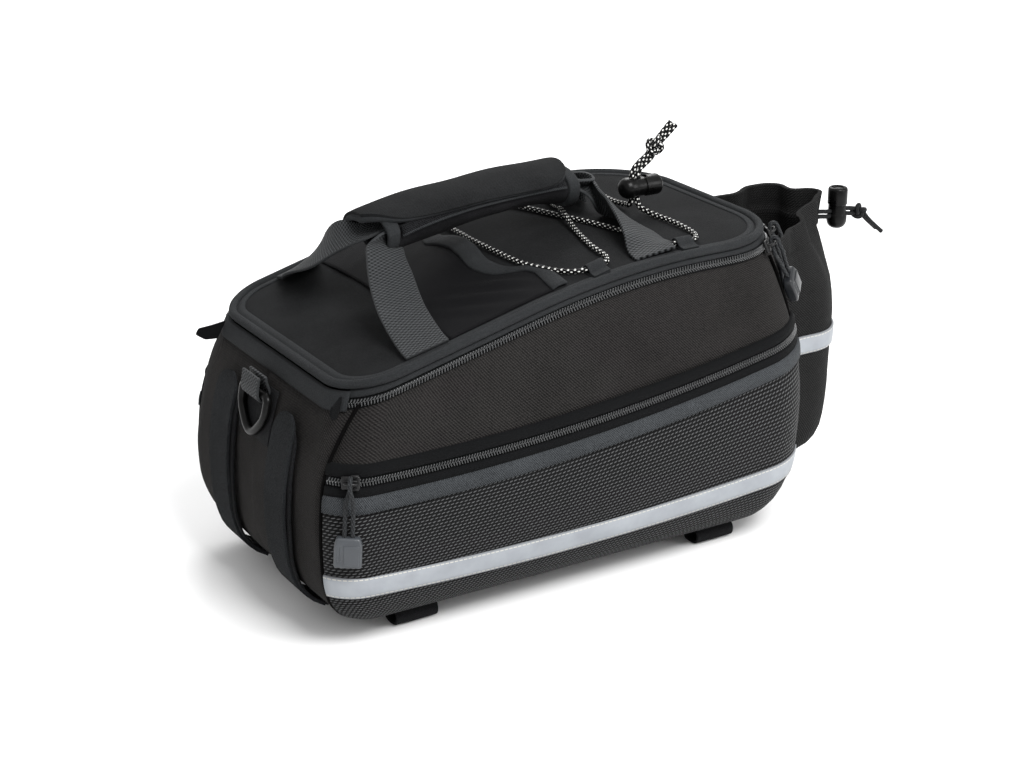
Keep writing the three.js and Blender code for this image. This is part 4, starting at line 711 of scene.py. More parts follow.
# The lacing over the lid: x, y and the height of the cord's middle above the lid
LACING = [
    (73.4, -6, STRAND_LIFT + 1.4), (73.6, 6, STRAND_LIFT), (75.5, 30, STRAND_LIFT), (78, 52, STRAND_LIFT),
    (77.5, LOOP_Y - 4, STRAND_LIFT), (72.5, LOOP_Y, LOOP_LIFT), (66, LOOP_Y, LOOP_LIFT),
    (60, LOOP_Y, LOOP_LIFT), (55, LOOP_Y - 5, STRAND_LIFT), (49, 42, STRAND_LIFT),
    (42, 20, STRAND_LIFT + 0.6), (35.5, 0, CROSS_LIFT), (29.5, -22, STRAND_LIFT + 0.6),
    (24.5, -46, STRAND_LIFT), (22.5, 4 - LOOP_Y, STRAND_LIFT), (18, -LOOP_Y, LOOP_LIFT),
    (12, -LOOP_Y, LOOP_LIFT), (6, -LOOP_Y, LOOP_LIFT), (0, 4 - LOOP_Y, STRAND_LIFT),
    (-11, -44, STRAND_LIFT), (-14.5, -16, STRAND_LIFT), (-14.5, 16, STRAND_LIFT), (-11, 44, STRAND_LIFT),
    (0, LOOP_Y - 4, STRAND_LIFT), (6, LOOP_Y, LOOP_LIFT), (12, LOOP_Y, LOOP_LIFT), (18, LOOP_Y, LOOP_LIFT),
    (22.5, LOOP_Y - 4, STRAND_LIFT), (24.5, 46, STRAND_LIFT), (29.5, 22, STRAND_LIFT),
    (35.5, 0, STRAND_LIFT), (42, -20, STRAND_LIFT), (49, -42, STRAND_LIFT), (55, 5 - LOOP_Y, STRAND_LIFT),
    (60, -LOOP_Y, LOOP_LIFT), (66, -LOOP_Y, LOOP_LIFT), (72.5, -LOOP_Y, LOOP_LIFT),
    (78, 5 - LOOP_Y, STRAND_LIFT), (80, -44, STRAND_LIFT), (78, -24, STRAND_LIFT),
    (76, -16.5, STRAND_LIFT + 1.4),
]


def bungee_route():
    """From one tail's tip through the knot and the lock, round the lid, and back up to the other tip."""
    x, y, z = LID_LOCK
    strand_x = x + LOCK_SLOT
    apart = BUNGEE / 2 + 0.25
    entry, leave = z - LOCK_RADIUS - 1, z + LOCK_RADIUS + 0.6
    tails = []
    for shift, reach in ((-1.0, 16.5), (1.0, 14.5)):
        aside = CAMERA_SIDE * 1.7 * shift
        tails.append([LID_KNOT + TAIL_WAY * reach + aside * 1.15, LID_KNOT + TAIL_WAY * 8 + aside,
                      LID_KNOT + aside * 0.7])
    first = [(81.6, y, 197.7), (77.2, y, 194.6), (73.4, y, 191), (strand_x - apart, y, leave),
             (strand_x - apart, y, z), (strand_x - apart, y, entry), (strand_x - apart, y + 1.6, entry - 3)]
    last = [(strand_x + apart, y - 1.6, entry - 3), (strand_x + apart, y, entry), (strand_x + apart, y, z),
            (strand_x + apart, y, leave), (76.6, y, 189.8), (79.6, y, 192.4), (84.3, y, 195.8)]
    laced = [lid_point(*row) for row in LACING]
    return [*tails[0], *first, *laced, *last, *tails[1][::-1]]


def knot_object(name, centre, up, size, radius):
    """An overhand knot pulled tight: a short closed run of cord that crosses itself three times."""
    turns = np.linspace(0, math.tau, 96, endpoint=False)
    side = unit(np.cross(up, [0.0, 1.0, 0.2]))
    other = np.cross(up, side)
    line = []
    for t in turns:
        ring = size * (0.66 + 0.34 * math.cos(3 * t))
        lift = size * 0.55 * math.sin(3 * t)
        line.append(centre + ring * (math.cos(2 * t) * up * 1.15 + math.sin(2 * t) * side) + lift * other)
    return tube(name, line, radius, 10, closed=True)


def build_bungee():
    line = smooth_path(bungee_route(), 640)
    # The elastic thins a little where it is stretched over the lid
    slack = [np.linalg.norm(point[:2] - LID_KNOT[:2]) for point in line]
    radii = [blend(BUNGEE / 2, BUNGEE / 2 - 0.22, clamp((far - 16) / 12, 0, 1)) for far in slack]
    cord = finished(tube("bungee", line, BUNGEE / 2, 12, radii=radii), FLECKED, ["bungee_cord"])
    knot = knot_object("bungee_tie", LID_KNOT, KNOT_UP, 4.1, BUNGEE / 2)
    finished(knot, FLECKED, ["bungee_knot"])


build_bungee()

# Drawcord of the bottle pocket
DRAWCORD = 2.6
BOTTLE_DEPTH = 57.0
BOTTLE_SEAT = 0.9
HEM_X = BELLY[1] + BOTTLE_SEAT + BOTTLE_DEPTH
HEM_Z = 149.3 - 5.8
DRAW_Y = -7.0
BOTTLE_LOCK = np.array([HEM_X + 11.7, DRAW_Y, HEM_Z - LOCK_SLOT])
BOTTLE_KNOT = np.array([HEM_X + 27.9, DRAW_Y, HEM_Z - 1.5])


def build_drawcord():
    knot = knot_object("bottle_tie", BOTTLE_KNOT, unit(np.array([1.0, 0.0, -0.2])), 3.5, DRAWCORD / 2)
    finished(knot, CORD_DARK, ["bottle_knot"])
    for label, shift, aside, reach in (("upper", 1.5, -1.35, 17), ("lower", -1.5, 1.35, 15)):
        route = [(HEM_X - 2.5, DRAW_Y, HEM_Z + 1 + shift), (HEM_X + 0.6, DRAW_Y, HEM_Z + 0.7 + shift),
                 (HEM_X + 4.6, DRAW_Y, HEM_Z + 0.1 + shift), (HEM_X + 11.7, DRAW_Y, HEM_Z + shift),
                 (HEM_X + 18.3, DRAW_Y, HEM_Z + shift), (HEM_X + 22.5, DRAW_Y, HEM_Z - 0.6 + shift),
                 BOTTLE_KNOT + [1, aside * 0.5, shift * 0.3], BOTTLE_KNOT + [7, aside, -6],
                 BOTTLE_KNOT + [reach, aside, -reach * 0.86]]
        line = smooth_path(route, 90)
        cord = tube(f"drawcord_{label}", line, DRAWCORD / 2, 12)
        finished(cord, CORD_DARK, [f"bottle_cord_{label}"])


build_drawcord()


# Body shell

SEAM_FRONT = {NEAR: 1.28, FAR: 1.5}
SEAM_REAR = 3.6
POCKET_CHAIN = 5.0
LOWER_TAPE = 14.0
SHELL_DROP = 9.6


def shell_top(x):
    return rim_height(x) - SHELL_DROP


def pocket_line(x):
    share = x / 149
    return 89.3 + 13.9 * share + 8.2 * share * share


def strip_line(x):
    share = x / 149
    return 26 + 2.5 * share + 5.8 * share * share


def pucker(side, station, x, height):
    """Small gathers below the lid zip, a groove at the corner seams and soft rolls on the panels."""
    drop = shell_top(x) - height
    run = station * 61.0
    gathers = 0.42 * math.sin(run * 3.4) * math.exp(-drop / 9) * (0.6 + 0.4 * math.sin(run * 0.23))
    tuck = -0.9 * math.exp(-drop / 2.2)
    lean = clamp((height - 78) / 40, 0, 1) ** 1.4
    seams = sum(-1.3 * math.exp(-((station - s) * length / 2.4) ** 2)
                for s, length in ((SEAM_FRONT[side] + 0.3 * lean, 32), (SEAM_REAR - 0.1 * lean, 54)))
    rolls = 1.0 * math.sin(run * 0.06 + side * 0.7 + height * 0.05) * math.sin(height * 0.045)
    fade = clamp(height / 20, 0, 1)
    return (gathers + tuck + seams + rolls) * fade


def build_shell():
    ring = full_ring(2.2)
    heights = [0.0, 0.006, 0.014, 0.025, 0.04, 0.06, 0.085, 0.115, 0.15]
    heights += list(np.linspace(0.19, 0.9, 20)) + [0.925, 0.95, 0.965, 0.98, 0.99, 1.0]
    rows = []
    for share in heights:
        row = []
        for side, station in ring:
            height_at = lambda x, share=share: shell_top(x) * share
            x = wall_base(side, station, height_at)[0]
            row.append(wall_point(side, station, height_at, pucker(side, station, x, height_at(x)) - 0.15))
        rows.append(row)
    base_ring = np.array(rows[0])
    centre = np.array([5.0, 0, 0])
    floor_rows = [blend(centre, base_ring, s) * [1, 1, 0] for s in (0.004, 0.25, 0.5, 0.75, 0.92, 0.98)]
    shell = cloth_sheet("bag_body", np.array(floor_rows + rows), wrap=True)
    merge(shell, 0.01)
    thicken(shell, 2.2)
    finished(shell, TWILL, ["bag_shell"])


def build_seams():
    """The corner seams, where the side panels are sewn to the ends: a dark line in a tuck, partly the dark
    joint and partly painted shade in the tuck's groove.
    """
    for side, label in SIDES:
        for where, lean, seam in (("front", 0.3, SEAM_FRONT[side]), ("rear", -0.1, SEAM_REAR)):
            line = []
            for height in np.linspace(1.5, 121 if where == "front" else 150, 70):
                station = seam + lean * clamp((height - 78) / 40, 0, 1) ** 1.4
                out = blend(0.5, -0.3, clamp((height - 92) / 8, 0, 1))
                line.append(wall_point(side, station, lambda x: height, out))
            seam_line = tube(f"corner_seam_{where}_{label}", line, 0.95, 8)
            finished(seam_line, SEAM_SHADE)


build_shell()
build_seams()


# Lid, its edge and its zip


def lid_surface(x, y, share):
    """The lid's height, with slack folds ahead of the handle and a low roll along the middle."""
    sag = 0.9 * math.sin(x * 0.045 + 0.6) * math.cos(y * 0.035) * (1 - share**4)
    front = math.exp(-(((x + 100) / 26) ** 2))
    folds = 0.9 * front * math.sin((y + x * 0.8) * 0.13) * (1 - share**6)
    edge = -2.2 * clamp((share - 0.955) / 0.045, 0, 1) ** 2
    return rim_height(x) + LID_CROWN * (1 - share * share) + sag * 0.6 + folds + edge


def build_lid():
    ring = []
    for side, station in full_ring(4.0):
        x, y = outline_point(LID + np.array([-0.6, 0.6, 0.6, 0.6, 0.6, 0]), station)
        ring.append((x, -side * y))
    shares = [1.0, 0.985, 0.965, 0.94, 0.9] + list(np.linspace(0.86, 0.02, 26))
    grid = [[(x * s, y * s, lid_surface(x * s, y * s, s)) for x, y in ring] for s in shares]
    lid = cloth_sheet("lid_cloth", np.array(grid), wrap=True)
    flat_uv(lid)
    merge(lid, 0.01)
    close_centre(lid)
    thicken(lid, 1.6)
    finished(lid, LID_CLOTH, ["lid_panel"])


def flat_uv(obj):
    """Lays the UV map flat in plan, in metres."""
    layer = obj.data.uv_layers["UVMap"]
    for loop in obj.data.loops:
        co = obj.data.vertices[loop.vertex_index].co
        layer.data[loop.index].uv = (co.x, co.y)


def close_centre(obj):
    """Closes the small hole left in the middle of rings."""
    work = bmesh.new()
    work.from_mesh(obj.data)
    inner = [e for e in work.edges if e.is_boundary and all(v.co.xy.length < 0.01 for v in e.verts)]
    bmesh.ops.holes_fill(work, edges=inner, sides=0)
    bmesh.ops.recalc_face_normals(work, faces=work.faces)
    work.to_mesh(obj.data)
    work.free()


def rim_ring(grow=0.0, drop=0.0, spacing=3.0):
    ring = []
    shape = RIM + np.array([-1, 1, 1, 1, 1, 0]) * grow
    for side, station in full_ring(spacing):
        x, y = outline_point(shape, station)
        ring.append((x, -side * y, rim_height(x) - drop))
    return np.array(ring)


def build_piping():
    piping = tube("lid_edge_piping", rim_ring(), PIPING_RADIUS, 14, closed=True)
    finished(piping, BINDING, ["lid_piping"])
    flange = [rim_ring(-PIPING_RADIUS + 0.4 - step, -lift, 3.0) for step, lift in
              ((0, 0.0), (0.8, 0.1), (1.5, 0.8), (2.8, 0.75), (4.2, 0.6), (4.7, 0.0))]
    for row in flange:
        for point in row:
            gauge = min(lid_gauge(point[0], point[1]), 1)
            point[2] += LID_CROWN * (1 - gauge * gauge)
    edge = cloth_sheet("lid_edge_flange", np.array(flange), wrap=True)
    thicken(edge, 0.8)
    finished(edge, BINDING)


def band_places(start):
    marks = stations(start, 5, 3.0)
    return [(NEAR, s) for s in marks] + [(FAR, s) for s in marks[:-1][::-1]]


def rim_band(name, places, rows, wall):
    """A band round the rim from rows of drop below it and distance out of the wall."""
    grid = []
    for drop, out in rows:
        row = []
        for side, station in places:
            point = wall_point(side, station, lambda x: rim_height(x) - drop, out, level=True)
            point[2] = rim_height(point[0]) - drop
            row.append(point)
        grid.append(row)
    band = cloth_sheet(name, np.array(grid), flip=True)
    thicken(band, wall)
    return band


def coil_tooth(length, width, height):
    """One loop of a zip's coil: a small rounded bar."""
    bpy.ops.object.select_all(action="DESELECT")
    bpy.ops.mesh.primitive_cube_add(size=1.0)
    tooth = bpy.context.object
    tooth.scale = (width * MM, length * MM, height * MM)
    bpy.ops.object.transform_apply(location=False, rotation=False, scale=True)
    soften(tooth, min(width, height) * 0.36, 1)
    return tooth


def coil_chain(name, line, outs, ups, pitch, reach, wide, tall):
    """Two rows of teeth that mesh along a line. outs point away from the tape and ups across it."""
    gone = np.concatenate([[0], np.cumsum(np.linalg.norm(np.diff(line, axis=0), axis=1))])
    places = []
    for k, mark in enumerate(np.arange(pitch, gone[-1] - pitch, pitch / 2)):
        point = np.array([np.interp(mark, gone, line[:, i]) for i in range(3)])
        out = unit(np.array([np.interp(mark, gone, outs[:, i]) for i in range(3)]))
        up = np.array([np.interp(mark, gone, ups[:, i]) for i in range(3)])
        up = unit(up - out * np.dot(up, out))
        sign = 1 if k % 2 else -1
        along = np.cross(up, out)
        leaned = unit(up * sign + along * 0.35)
        places.append(place_matrix(np.cross(leaned, out), leaned, out, point + up * sign * reach * 0.36))
    return copies(name, coil_tooth(reach, wide, tall), places)


CHAIN_DROP = 7.3


def build_lid_zip():
    places = band_places(1.42)
    upper = rim_band("lid_zip_tape_upper", places, [(2.2, -0.4), (3.0, 0.7), (4.6, 0.8), (5.5, -0.1)], 0.9)
    finished(upper, BINDING, ["lid_zip"])
    ground = rim_band("lid_zip_ground", places, [(4.8, -0.6), (7.4, -0.5), (9.2, -0.7), (10.6, -1.4)], 0.8)
    finished(ground, TAPE)
    at = [wall_point(side, s, lambda x: rim_height(x) - CHAIN_DROP, 0.3, level=True) for side, s in places]
    above = [wall_point(side, s, lambda x: rim_height(x) - CHAIN_DROP + 1, 0.3, level=True)
             for side, s in places]
    out = [wall_point(side, s, lambda x: rim_height(x) - CHAIN_DROP, 1.3, level=True) for side, s in places]
    at, above, out = np.array(at), np.array(above), np.array(out)
    chain = coil_chain("lid_zip_coil", at, out - at, above - at, 1.6, 2.6, 0.72, 1.5)
    finished(chain, TEETH)


def build_hinge_strip():
    marks = stations(0, 1.44, 3.0)
    places = [(FAR, s) for s in marks[1:][::-1]] + [(NEAR, s) for s in marks]
    rows = [(2.4, 0.2), (3.2, 1.1), (5.0, 1.7), (7.2, 1.6), (9.2, 1.2), (10.2, 0.9), (10.5, -0.1)]
    strip = rim_band("lid_hinge", places, rows, 1.2)
    finished(strip, BINDING, ["lid_hinge_strip"])


build_lid()
build_piping()
build_lid_zip()
build_hinge_strip()


# Side pockets


def wall_band(name, side, start, end, line_at, shifts, outs, wall, spacing=4.0):
    """A band on the wall, its rows at shifts above a line, standing out by the given distances."""
    marks = stations(start, end, spacing)
    grid = [[wall_point(side, s, lambda x: line_at(x) + shift, out) for s in marks]
            for shift, out in zip(shifts, outs)]
    band = cloth_sheet(name, np.array(grid), flip=side == FAR)
    thicken(band, wall)
    return band


def build_mesh_pocket(side, label):
    marks = stations(SEAM_FRONT[side] + 0.05, SEAM_REAR - 0.01, 4.0)
    shares = [0.0, 0.02, 0.05, 0.1, 0.16, 0.23, 0.31, 0.4, 0.5, 0.6, 0.7, 0.8, 0.9, 1.0]
    grid = []
    for share in shares:
        row = []
        for s in marks:
            run = (s - marks[0]) / (marks[-1] - marks[0])
            rise = math.sin(math.pi * clamp((share - 0.35) / 0.65, 0, 1))
            swell = 2.2 * rise * math.sin(math.pi * run) ** 0.5
            roll = 0.5 * math.sin(run * 21 + share * 5) * math.sin(math.pi * run) * share
            top_at = lambda x: pocket_line(x) - POCKET_CHAIN / 2 - LOWER_TAPE + 2
            height_at = lambda x, share=share: blend(2.6, top_at(x), share)
            row.append(wall_point(side, s, height_at, 1.5 + max(swell + roll, -0.4)))
        grid.append(row)
    panel = cloth_sheet(f"mesh_panel_{label}", np.array(grid), flip=side == FAR)
    thicken(panel, 1.3)
    finished(panel, MESH_CLOTH, [f"pocket_mesh_{label}"])


def build_pocket_zip(side, label):
    start, end = SEAM_FRONT[side] + 0.05, SEAM_REAR - 0.01
    half = POCKET_CHAIN / 2
    hood = wall_band(f"zip_hood_{label}", side, start, end, pocket_line, (1.7, 2.4, 4.5, 7.0, 8.2),
                     (1.0, 2.1, 2.2, 1.6, 0.6), 1.0)
    finished(hood, TAPE, [f"pocket_tape_upper_{label}"])
    ground = wall_band(f"zip_ground_{label}", side, start, end, pocket_line, (-4.4, 0, 3.4),
                       (0.9, 1.0, 0.9), 0.8)
    finished(ground, TAPE, [f"pocket_zip_{label}"])
    below = wall_band(f"zip_tape_{label}", side, start, end, pocket_line, (-8.4, -7.6, -3.6, -2.9),
                      (1.0, 1.9, 1.9, 1.0), 1.0)
    finished(below, TAPE)
    border = wall_band(f"zip_border_{label}", side, start, end, pocket_line,
                       (-half - LOWER_TAPE, -half - LOWER_TAPE + 0.7, -12, -8.2, -7.4),
                       (1.6, 2.9, 3.0, 2.6, 1.4), 1.1)
    finished(border, GROSGRAIN, [f"pocket_tape_lower_{label}"])
    marks = stations(start, end, 3.0)
    at = np.array([wall_point(side, s, lambda x: pocket_line(x) - 0.4, 1.6) for s in marks])
    out = np.array([wall_point(side, s, lambda x: pocket_line(x) - 0.4, 2.6) for s in marks])
    above = np.array([wall_point(side, s, lambda x: pocket_line(x) + 0.6, 1.6) for s in marks])
    chain = coil_chain(f"zip_coil_{label}", at, out - at, above - at, 1.5, 2.3, 0.68, 1.3)
    finished(chain, TEETH)


def build_strip(side, label):
    shifts = np.array([-6.0, -5.6, -3, 0, 3, 5.6, 6.0])
    outs = (2.0, 2.7, 2.9, 2.95, 2.9, 2.7, 2.0)
    marks = stations(SEAM_FRONT[side] + 0.05, SEAM_REAR - 0.01, 4.0)
    grid = [[wall_point(side, s, lambda x: strip_line(x) + shift, out) for s in marks]
            for shift, out in zip(shifts, outs)]
    strip = cloth_sheet(f"bright_strip_{label}", np.array(grid), flip=side == FAR)
    set_across(strip, [shift / 6.0 for shift in shifts], len(marks))
    thicken(strip, 0.7)
    finished(strip, SILVER, [f"reflective_strip_{label}"])


def set_across(obj, values, columns):
    """Stores on each row of points how far it lies from the middle of a tape."""
    layer = obj.data.attributes.new("across", "FLOAT", "POINT")
    layer.data.foreach_set("value", np.repeat(np.array(values, np.float32), columns))


for side, label in SIDES:
    build_mesh_pocket(side, label)
    build_pocket_zip(side, label)
    build_strip(side, label)


# Handle

STRAP_WIDTH = 24.0
STRAP_WALL = 1.6
FRONT_FOOT = -86.5
REAR_FOOT = 45.0
GRIP_FRONT = -76.0
GRIP_REAR = 36.5
GRIP_WIDE = 16.0
GRIP_TOP = 7.8
GRIP_HANG = Profile([(-76, 13.2), (-60, 12.8), (-40, 11.5), (-22, 9.4), (-5, 8.4), (15, 8.8), (28, 11.0),
                     (37, 12.4)])


def grip_axis(x):
    share = (x - GRIP_FRONT) / (GRIP_REAR - GRIP_FRONT)
    return blend(178, 187, share) + 8 * share * (1 - share)


def strap_stations(side):
    """The strap's middle, the way across it and the share of its width that shows, from foot to foot."""
    layer = side * (STRAP_WALL / 2 + CLEARANCE)
    foot_y = side * (LID_HALF - 3)

    def on_lid(x, y, lift, across, share=1.0):
        return lid_point(x, side * y, lift), unit(np.array(across, float)), share

    def in_grip(x):
        return np.array([x, 0, grip_axis(x) + layer]), np.array([0, 1.0, 0]), 0.6

    def free(x, y, z, across, share):
        return np.array([x, side * y, z]), unit(np.array(across, float)), share

    foot = abs(foot_y)
    seat = STRAP_WALL / 2 + 0.8
    flat = (1, 0, LID_SLOPE)
    if side == NEAR:
        front = [
            on_lid(FRONT_FOOT, foot + 1, seat, flat), on_lid(FRONT_FOOT, foot - 6, seat + 1.2, flat),
            on_lid(FRONT_FOOT + 0.6, 47, 11, (1, 0, 0.2)), on_lid(FRONT_FOOT + 4, 30, 20, (1, 0.05, 0.1)),
            free(-79, 17, 171, (0.95, 0.3, -0.05), 0.94), free(-73.5, 8, 174.5, (0.7, 0.7, -0.05), 0.8),
        ]
        rear = [
            free(50, 2, 180.5, (0, 0.9, 0.45), 0.62), free(55, 10, 175.5, (-0.35, 0.4, 0.85), 0.78),
            free(55, 24, 173.5, (-0.6, 0.1, 0.78), 0.95), on_lid(52, 42, 7.0, (-0.85, 0, 0.5)),
            on_lid(49, 58, 4.4, (-0.97, 0, 0.22)),
            on_lid(REAR_FOOT + 1.5, foot - 5, seat + 0.6, (-1, 0, -0.15)),
            on_lid(REAR_FOOT + 1, foot + 1, seat, (-1, 0, -0.15)),
        ]
    else:
        front = [
            on_lid(FRONT_FOOT, foot + 1, seat, flat), on_lid(FRONT_FOOT, foot - 6, seat + 1.2, flat),
            on_lid(-90, 57, 8, (1, 0, 0.3)), on_lid(-93, 42, 17.5, (0.9, 0.2, 0.45)),
            on_lid(-94, 26, 27, (0.6, 0.4, 0.65), 0.9), free(-89, 12, 173.5, (0.3, 0.7, 0.6), 0.75),
            free(-81, 4, 176, (0.15, 1, 0.25), 0.62),
        ]
        rear = [
            free(50, 2, 183, (0, 0.9, -0.45), 0.62), free(56, 12, 178, (0.35, 0.4, -0.85), 0.78),
            on_lid(56, 30, 10, (0.7, 0.1, -0.6), 0.95), on_lid(52, 48, 6.0, (0.9, 0, -0.4)),
            on_lid(REAR_FOOT + 2, foot - 8, seat + 1.5, (1, 0, 0.1)),
            on_lid(REAR_FOOT + 1, foot + 1, seat, (1, 0, 0.15)),
        ]
    inside = [in_grip(x) for x in (GRIP_FRONT + 10, GRIP_FRONT + 45, GRIP_REAR - 40, GRIP_REAR - 5)]
    return [*front, *inside, *rear]


def build_strap(side, label):
    rows = strap_stations(side)
    count = 170
    centres = smooth_path([row[0] for row in rows], count)
    marks = [0.0]
    for a, b in zip(rows, rows[1:]):
        marks.append(marks[-1] + np.linalg.norm(b[0] - a[0]))
    marks = np.array(marks) / marks[-1]
    turns = [Profile([(m, row[1][k]) for m, row in zip(marks, rows)]) for k in range(3)]
    widths = Profile([(m, row[2]) for m, row in zip(marks, rows)])
    tangents = np.gradient(centres, axis=0)
    grid = []
    for t, centre, tangent in zip(np.linspace(0, 1, count), centres, tangents):
        across = np.array([turn(t) for turn in turns])
        across = unit(across - unit(tangent) * np.dot(across, unit(tangent)) * 0.6)
        face = unit(np.cross(tangent, across))
        half = STRAP_WIDTH / 2 * widths(t)
        curl = (1 - widths(t)) * 4.0
        grid.append([centre + across * u * half + face * curl * (u * u - 0.4)
                     for u in np.linspace(-1, 1, 13)])
    strap = cloth_sheet(f"carry_strap_{label}", np.transpose(np.array(grid), (1, 0, 2)), flip=True)
    thicken(strap, STRAP_WALL, 0.0)
    soften(strap, 0.35)
    finished(strap, WEBBING, [f"handle_strap_{label}"])


def grip_point(x, degrees, grow):
    """A point round the grip, which hangs lower than it rises."""
    angle = math.radians(degrees)
    tall = GRIP_HANG(x) if math.sin(angle) < 0 else GRIP_TOP
    return np.array([x, -(GRIP_WIDE + grow) * math.cos(angle),
                     grip_axis(x) + (tall + grow) * math.sin(angle)])


def build_grip():
    xs = np.linspace(GRIP_FRONT, GRIP_REAR, 60)
    grid = []
    for x in xs:
        slack = 0.5 * math.sin(x * 0.11) + 0.25 * math.sin(x * 0.31 + 1)
        grid.append([grip_point(x, d, slack * math.sin(math.radians(d * 3)) - 0.5)
                     for d in np.arange(0, 360, 6)])
    grip = cloth_sheet("grip_wrap", np.array(grid), wrap=True, flip=True)
    thicken(grip, 2.4)
    soften(grip, 0.6)
    finished(grip, BINDING_DARK, ["handle_grip"])
    for label, end, way in (("front", GRIP_FRONT, 1), ("rear", GRIP_REAR, -1)):
        rows = ((0.6, -2.2), (-0.5, -1.6), (-0.8, -0.2), (-0.3, 0.7), (0.8, 0.95), (3.2, 0.9), (5.6, 0.9),
                (6.3, 0.4), (6.4, -0.6))
        sleeve = [[grip_point(clamp(end + way * reach, -78, 38), d, grow) for d in np.arange(0, 360, 6)]
                  for reach, grow in rows]
        bound = cloth_sheet(f"grip_end_{label}", np.array(sleeve), wrap=True, flip=way > 0)
        refine(bound)
        finished(bound, BINDING)
    xs = np.linspace(GRIP_FRONT + 7, GRIP_REAR - 8, 44)
    low = Profile([(-76, -10), (-68, -4), (-42, 10), (-20, 14), (37, 12)])
    fuzz = [[grip_point(x, low(x) + rise * 30, 0.5) for x in xs] for rise in np.linspace(0, 1, 8)]
    strip = cloth_sheet("grip_fuzz", np.array(fuzz), flip=True)
    thicken(strip, 0.9)
    finished(strip, HOOK)
    edge = [[grip_point(x, low(x) + shift, grow) for x in xs]
            for shift, grow in ((-2, 0.2), (-1.4, 0.9), (1, 0.9), (2, 0.4))]
    ribbon = cloth_sheet("grip_fuzz_edge", np.array(edge), flip=True)
    thicken(ribbon, 0.5)
    finished(ribbon, BINDING)


FLAP_EDGE = Profile([(-84, 84), (-81, 71), (-77.5, 60), (-72.5, 45), (-65, 33), (-50, 26), (-35, 24),
                     (-20, 23), (-4, 21), (12, 20), (20, 23), (26, 34), (30, 50), (32.3, 68), (33.5, 90)])
FLAP_FRONT = -84.0
FLAP_REAR = 33.5
FLAP_FAR = 205.0
FLAP_GROW = 2.3


def flap_point(x, degrees, grow=0.0):
    """A point on the flap, which rides a little higher along its crest and droops at its front end."""
    puff = 0.6 * max(math.sin(math.radians(degrees)), 0) ** 2
    droop = -2.0 * math.exp(-(x - FLAP_FRONT) / 6) * max(math.sin(math.radians(degrees)), 0)
    return grip_point(x, degrees, FLAP_GROW + puff + droop + grow)


def flap_border():
    """The flap's free border in plan, as x and the way round in millimetres, with the way in from it."""
    around = math.radians(1) * 17.0
    rear = [(FLAP_REAR, d * around) for d in np.linspace(FLAP_FAR, 94, 20)]
    near = [(x, FLAP_EDGE(x) * around) for x in np.linspace(FLAP_REAR, FLAP_FRONT, 110)]
    front = [(FLAP_FRONT, d * around) for d in np.linspace(88, FLAP_FAR, 20)]
    line = np.array([(x, s, 0.0) for x, s in rear + near + front])
    line = even_path(line, 170)
    way = np.gradient(line, axis=0)
    way /= np.linalg.norm(way, axis=1)[:, None]
    inward = np.stack([way[:, 1], -way[:, 0]], 1)
    return line[:, :2], inward, around


def build_flap():
    xs = np.concatenate([FLAP_FRONT + np.array([0, 0.4, 1.4, 3, 5.2, 8, 11]),
                         np.linspace(FLAP_FRONT + 15, FLAP_REAR - 15, 32),
                         FLAP_REAR - np.array([11, 8, 5.2, 3, 1.4, 0.4, 0])])
    shares = np.concatenate([[0, 0.02, 0.045, 0.07], np.linspace(0.1, 1, 24)])
    grid = []
    for share in shares:
        slack = [0.35 * math.sin(x * 0.13 + share * 4) for x in xs]
        grid.append([flap_point(x, blend(FLAP_EDGE(x), FLAP_FAR, share), s) for x, s in zip(xs, slack)])
    flap = cloth_sheet("grip_flap", np.array(grid), flip=True)
    thicken(flap, 2.2)
    soften(flap, 0.7)
    finished(flap, LID_CLOTH, ["handle_flap"])
    line, inward, around = flap_border()
    rows = []
    for step, grow in ((1.2, -2.9), (0.2, -2.9), (-0.8, -2.2), (-1.0, -1.0), (-0.6, 0.4), (0.4, 1.2),
                       (2.0, 1.4), (3.6, 1.2), (4.2, 0.8), (4.4, -0.2)):
        row = []
        for (x, s), (ix, iy) in zip(line, inward):
            row.append(flap_point(x + ix * step, (s + iy * step) / around, grow))
        rows.append(row)
    bound = cloth_sheet("grip_flap_binding", np.array(rows), flip=True)
    refine(bound)
    finished(bound, BINDING)


for side, label in SIDES:
    build_strap(side, label)
build_grip()
build_flap()


# Lid pocket

MOUTH = Profile([(0, -31.5), (0.16, -32.6), (0.3, -33.4), (0.39, -31.6), (0.5, -27.6), (0.57, -20.5),
                 (0.615, -14.6), (0.7, -12.2), (0.82, -13.2), (0.98, -14.4)])
MOUTH_RISE = Profile([(0, 5.6), (0.15, 4.8), (0.3, 2.4), (0.42, 0.8), (0.55, 0.2), (1, 0)])
MOUTH_TAPE = Profile([(0, 9.8), (0.3, 9.6), (0.5, 8.6), (0.65, 7.4), (1, 8.4)])
POCKET_FRONT = -74.0


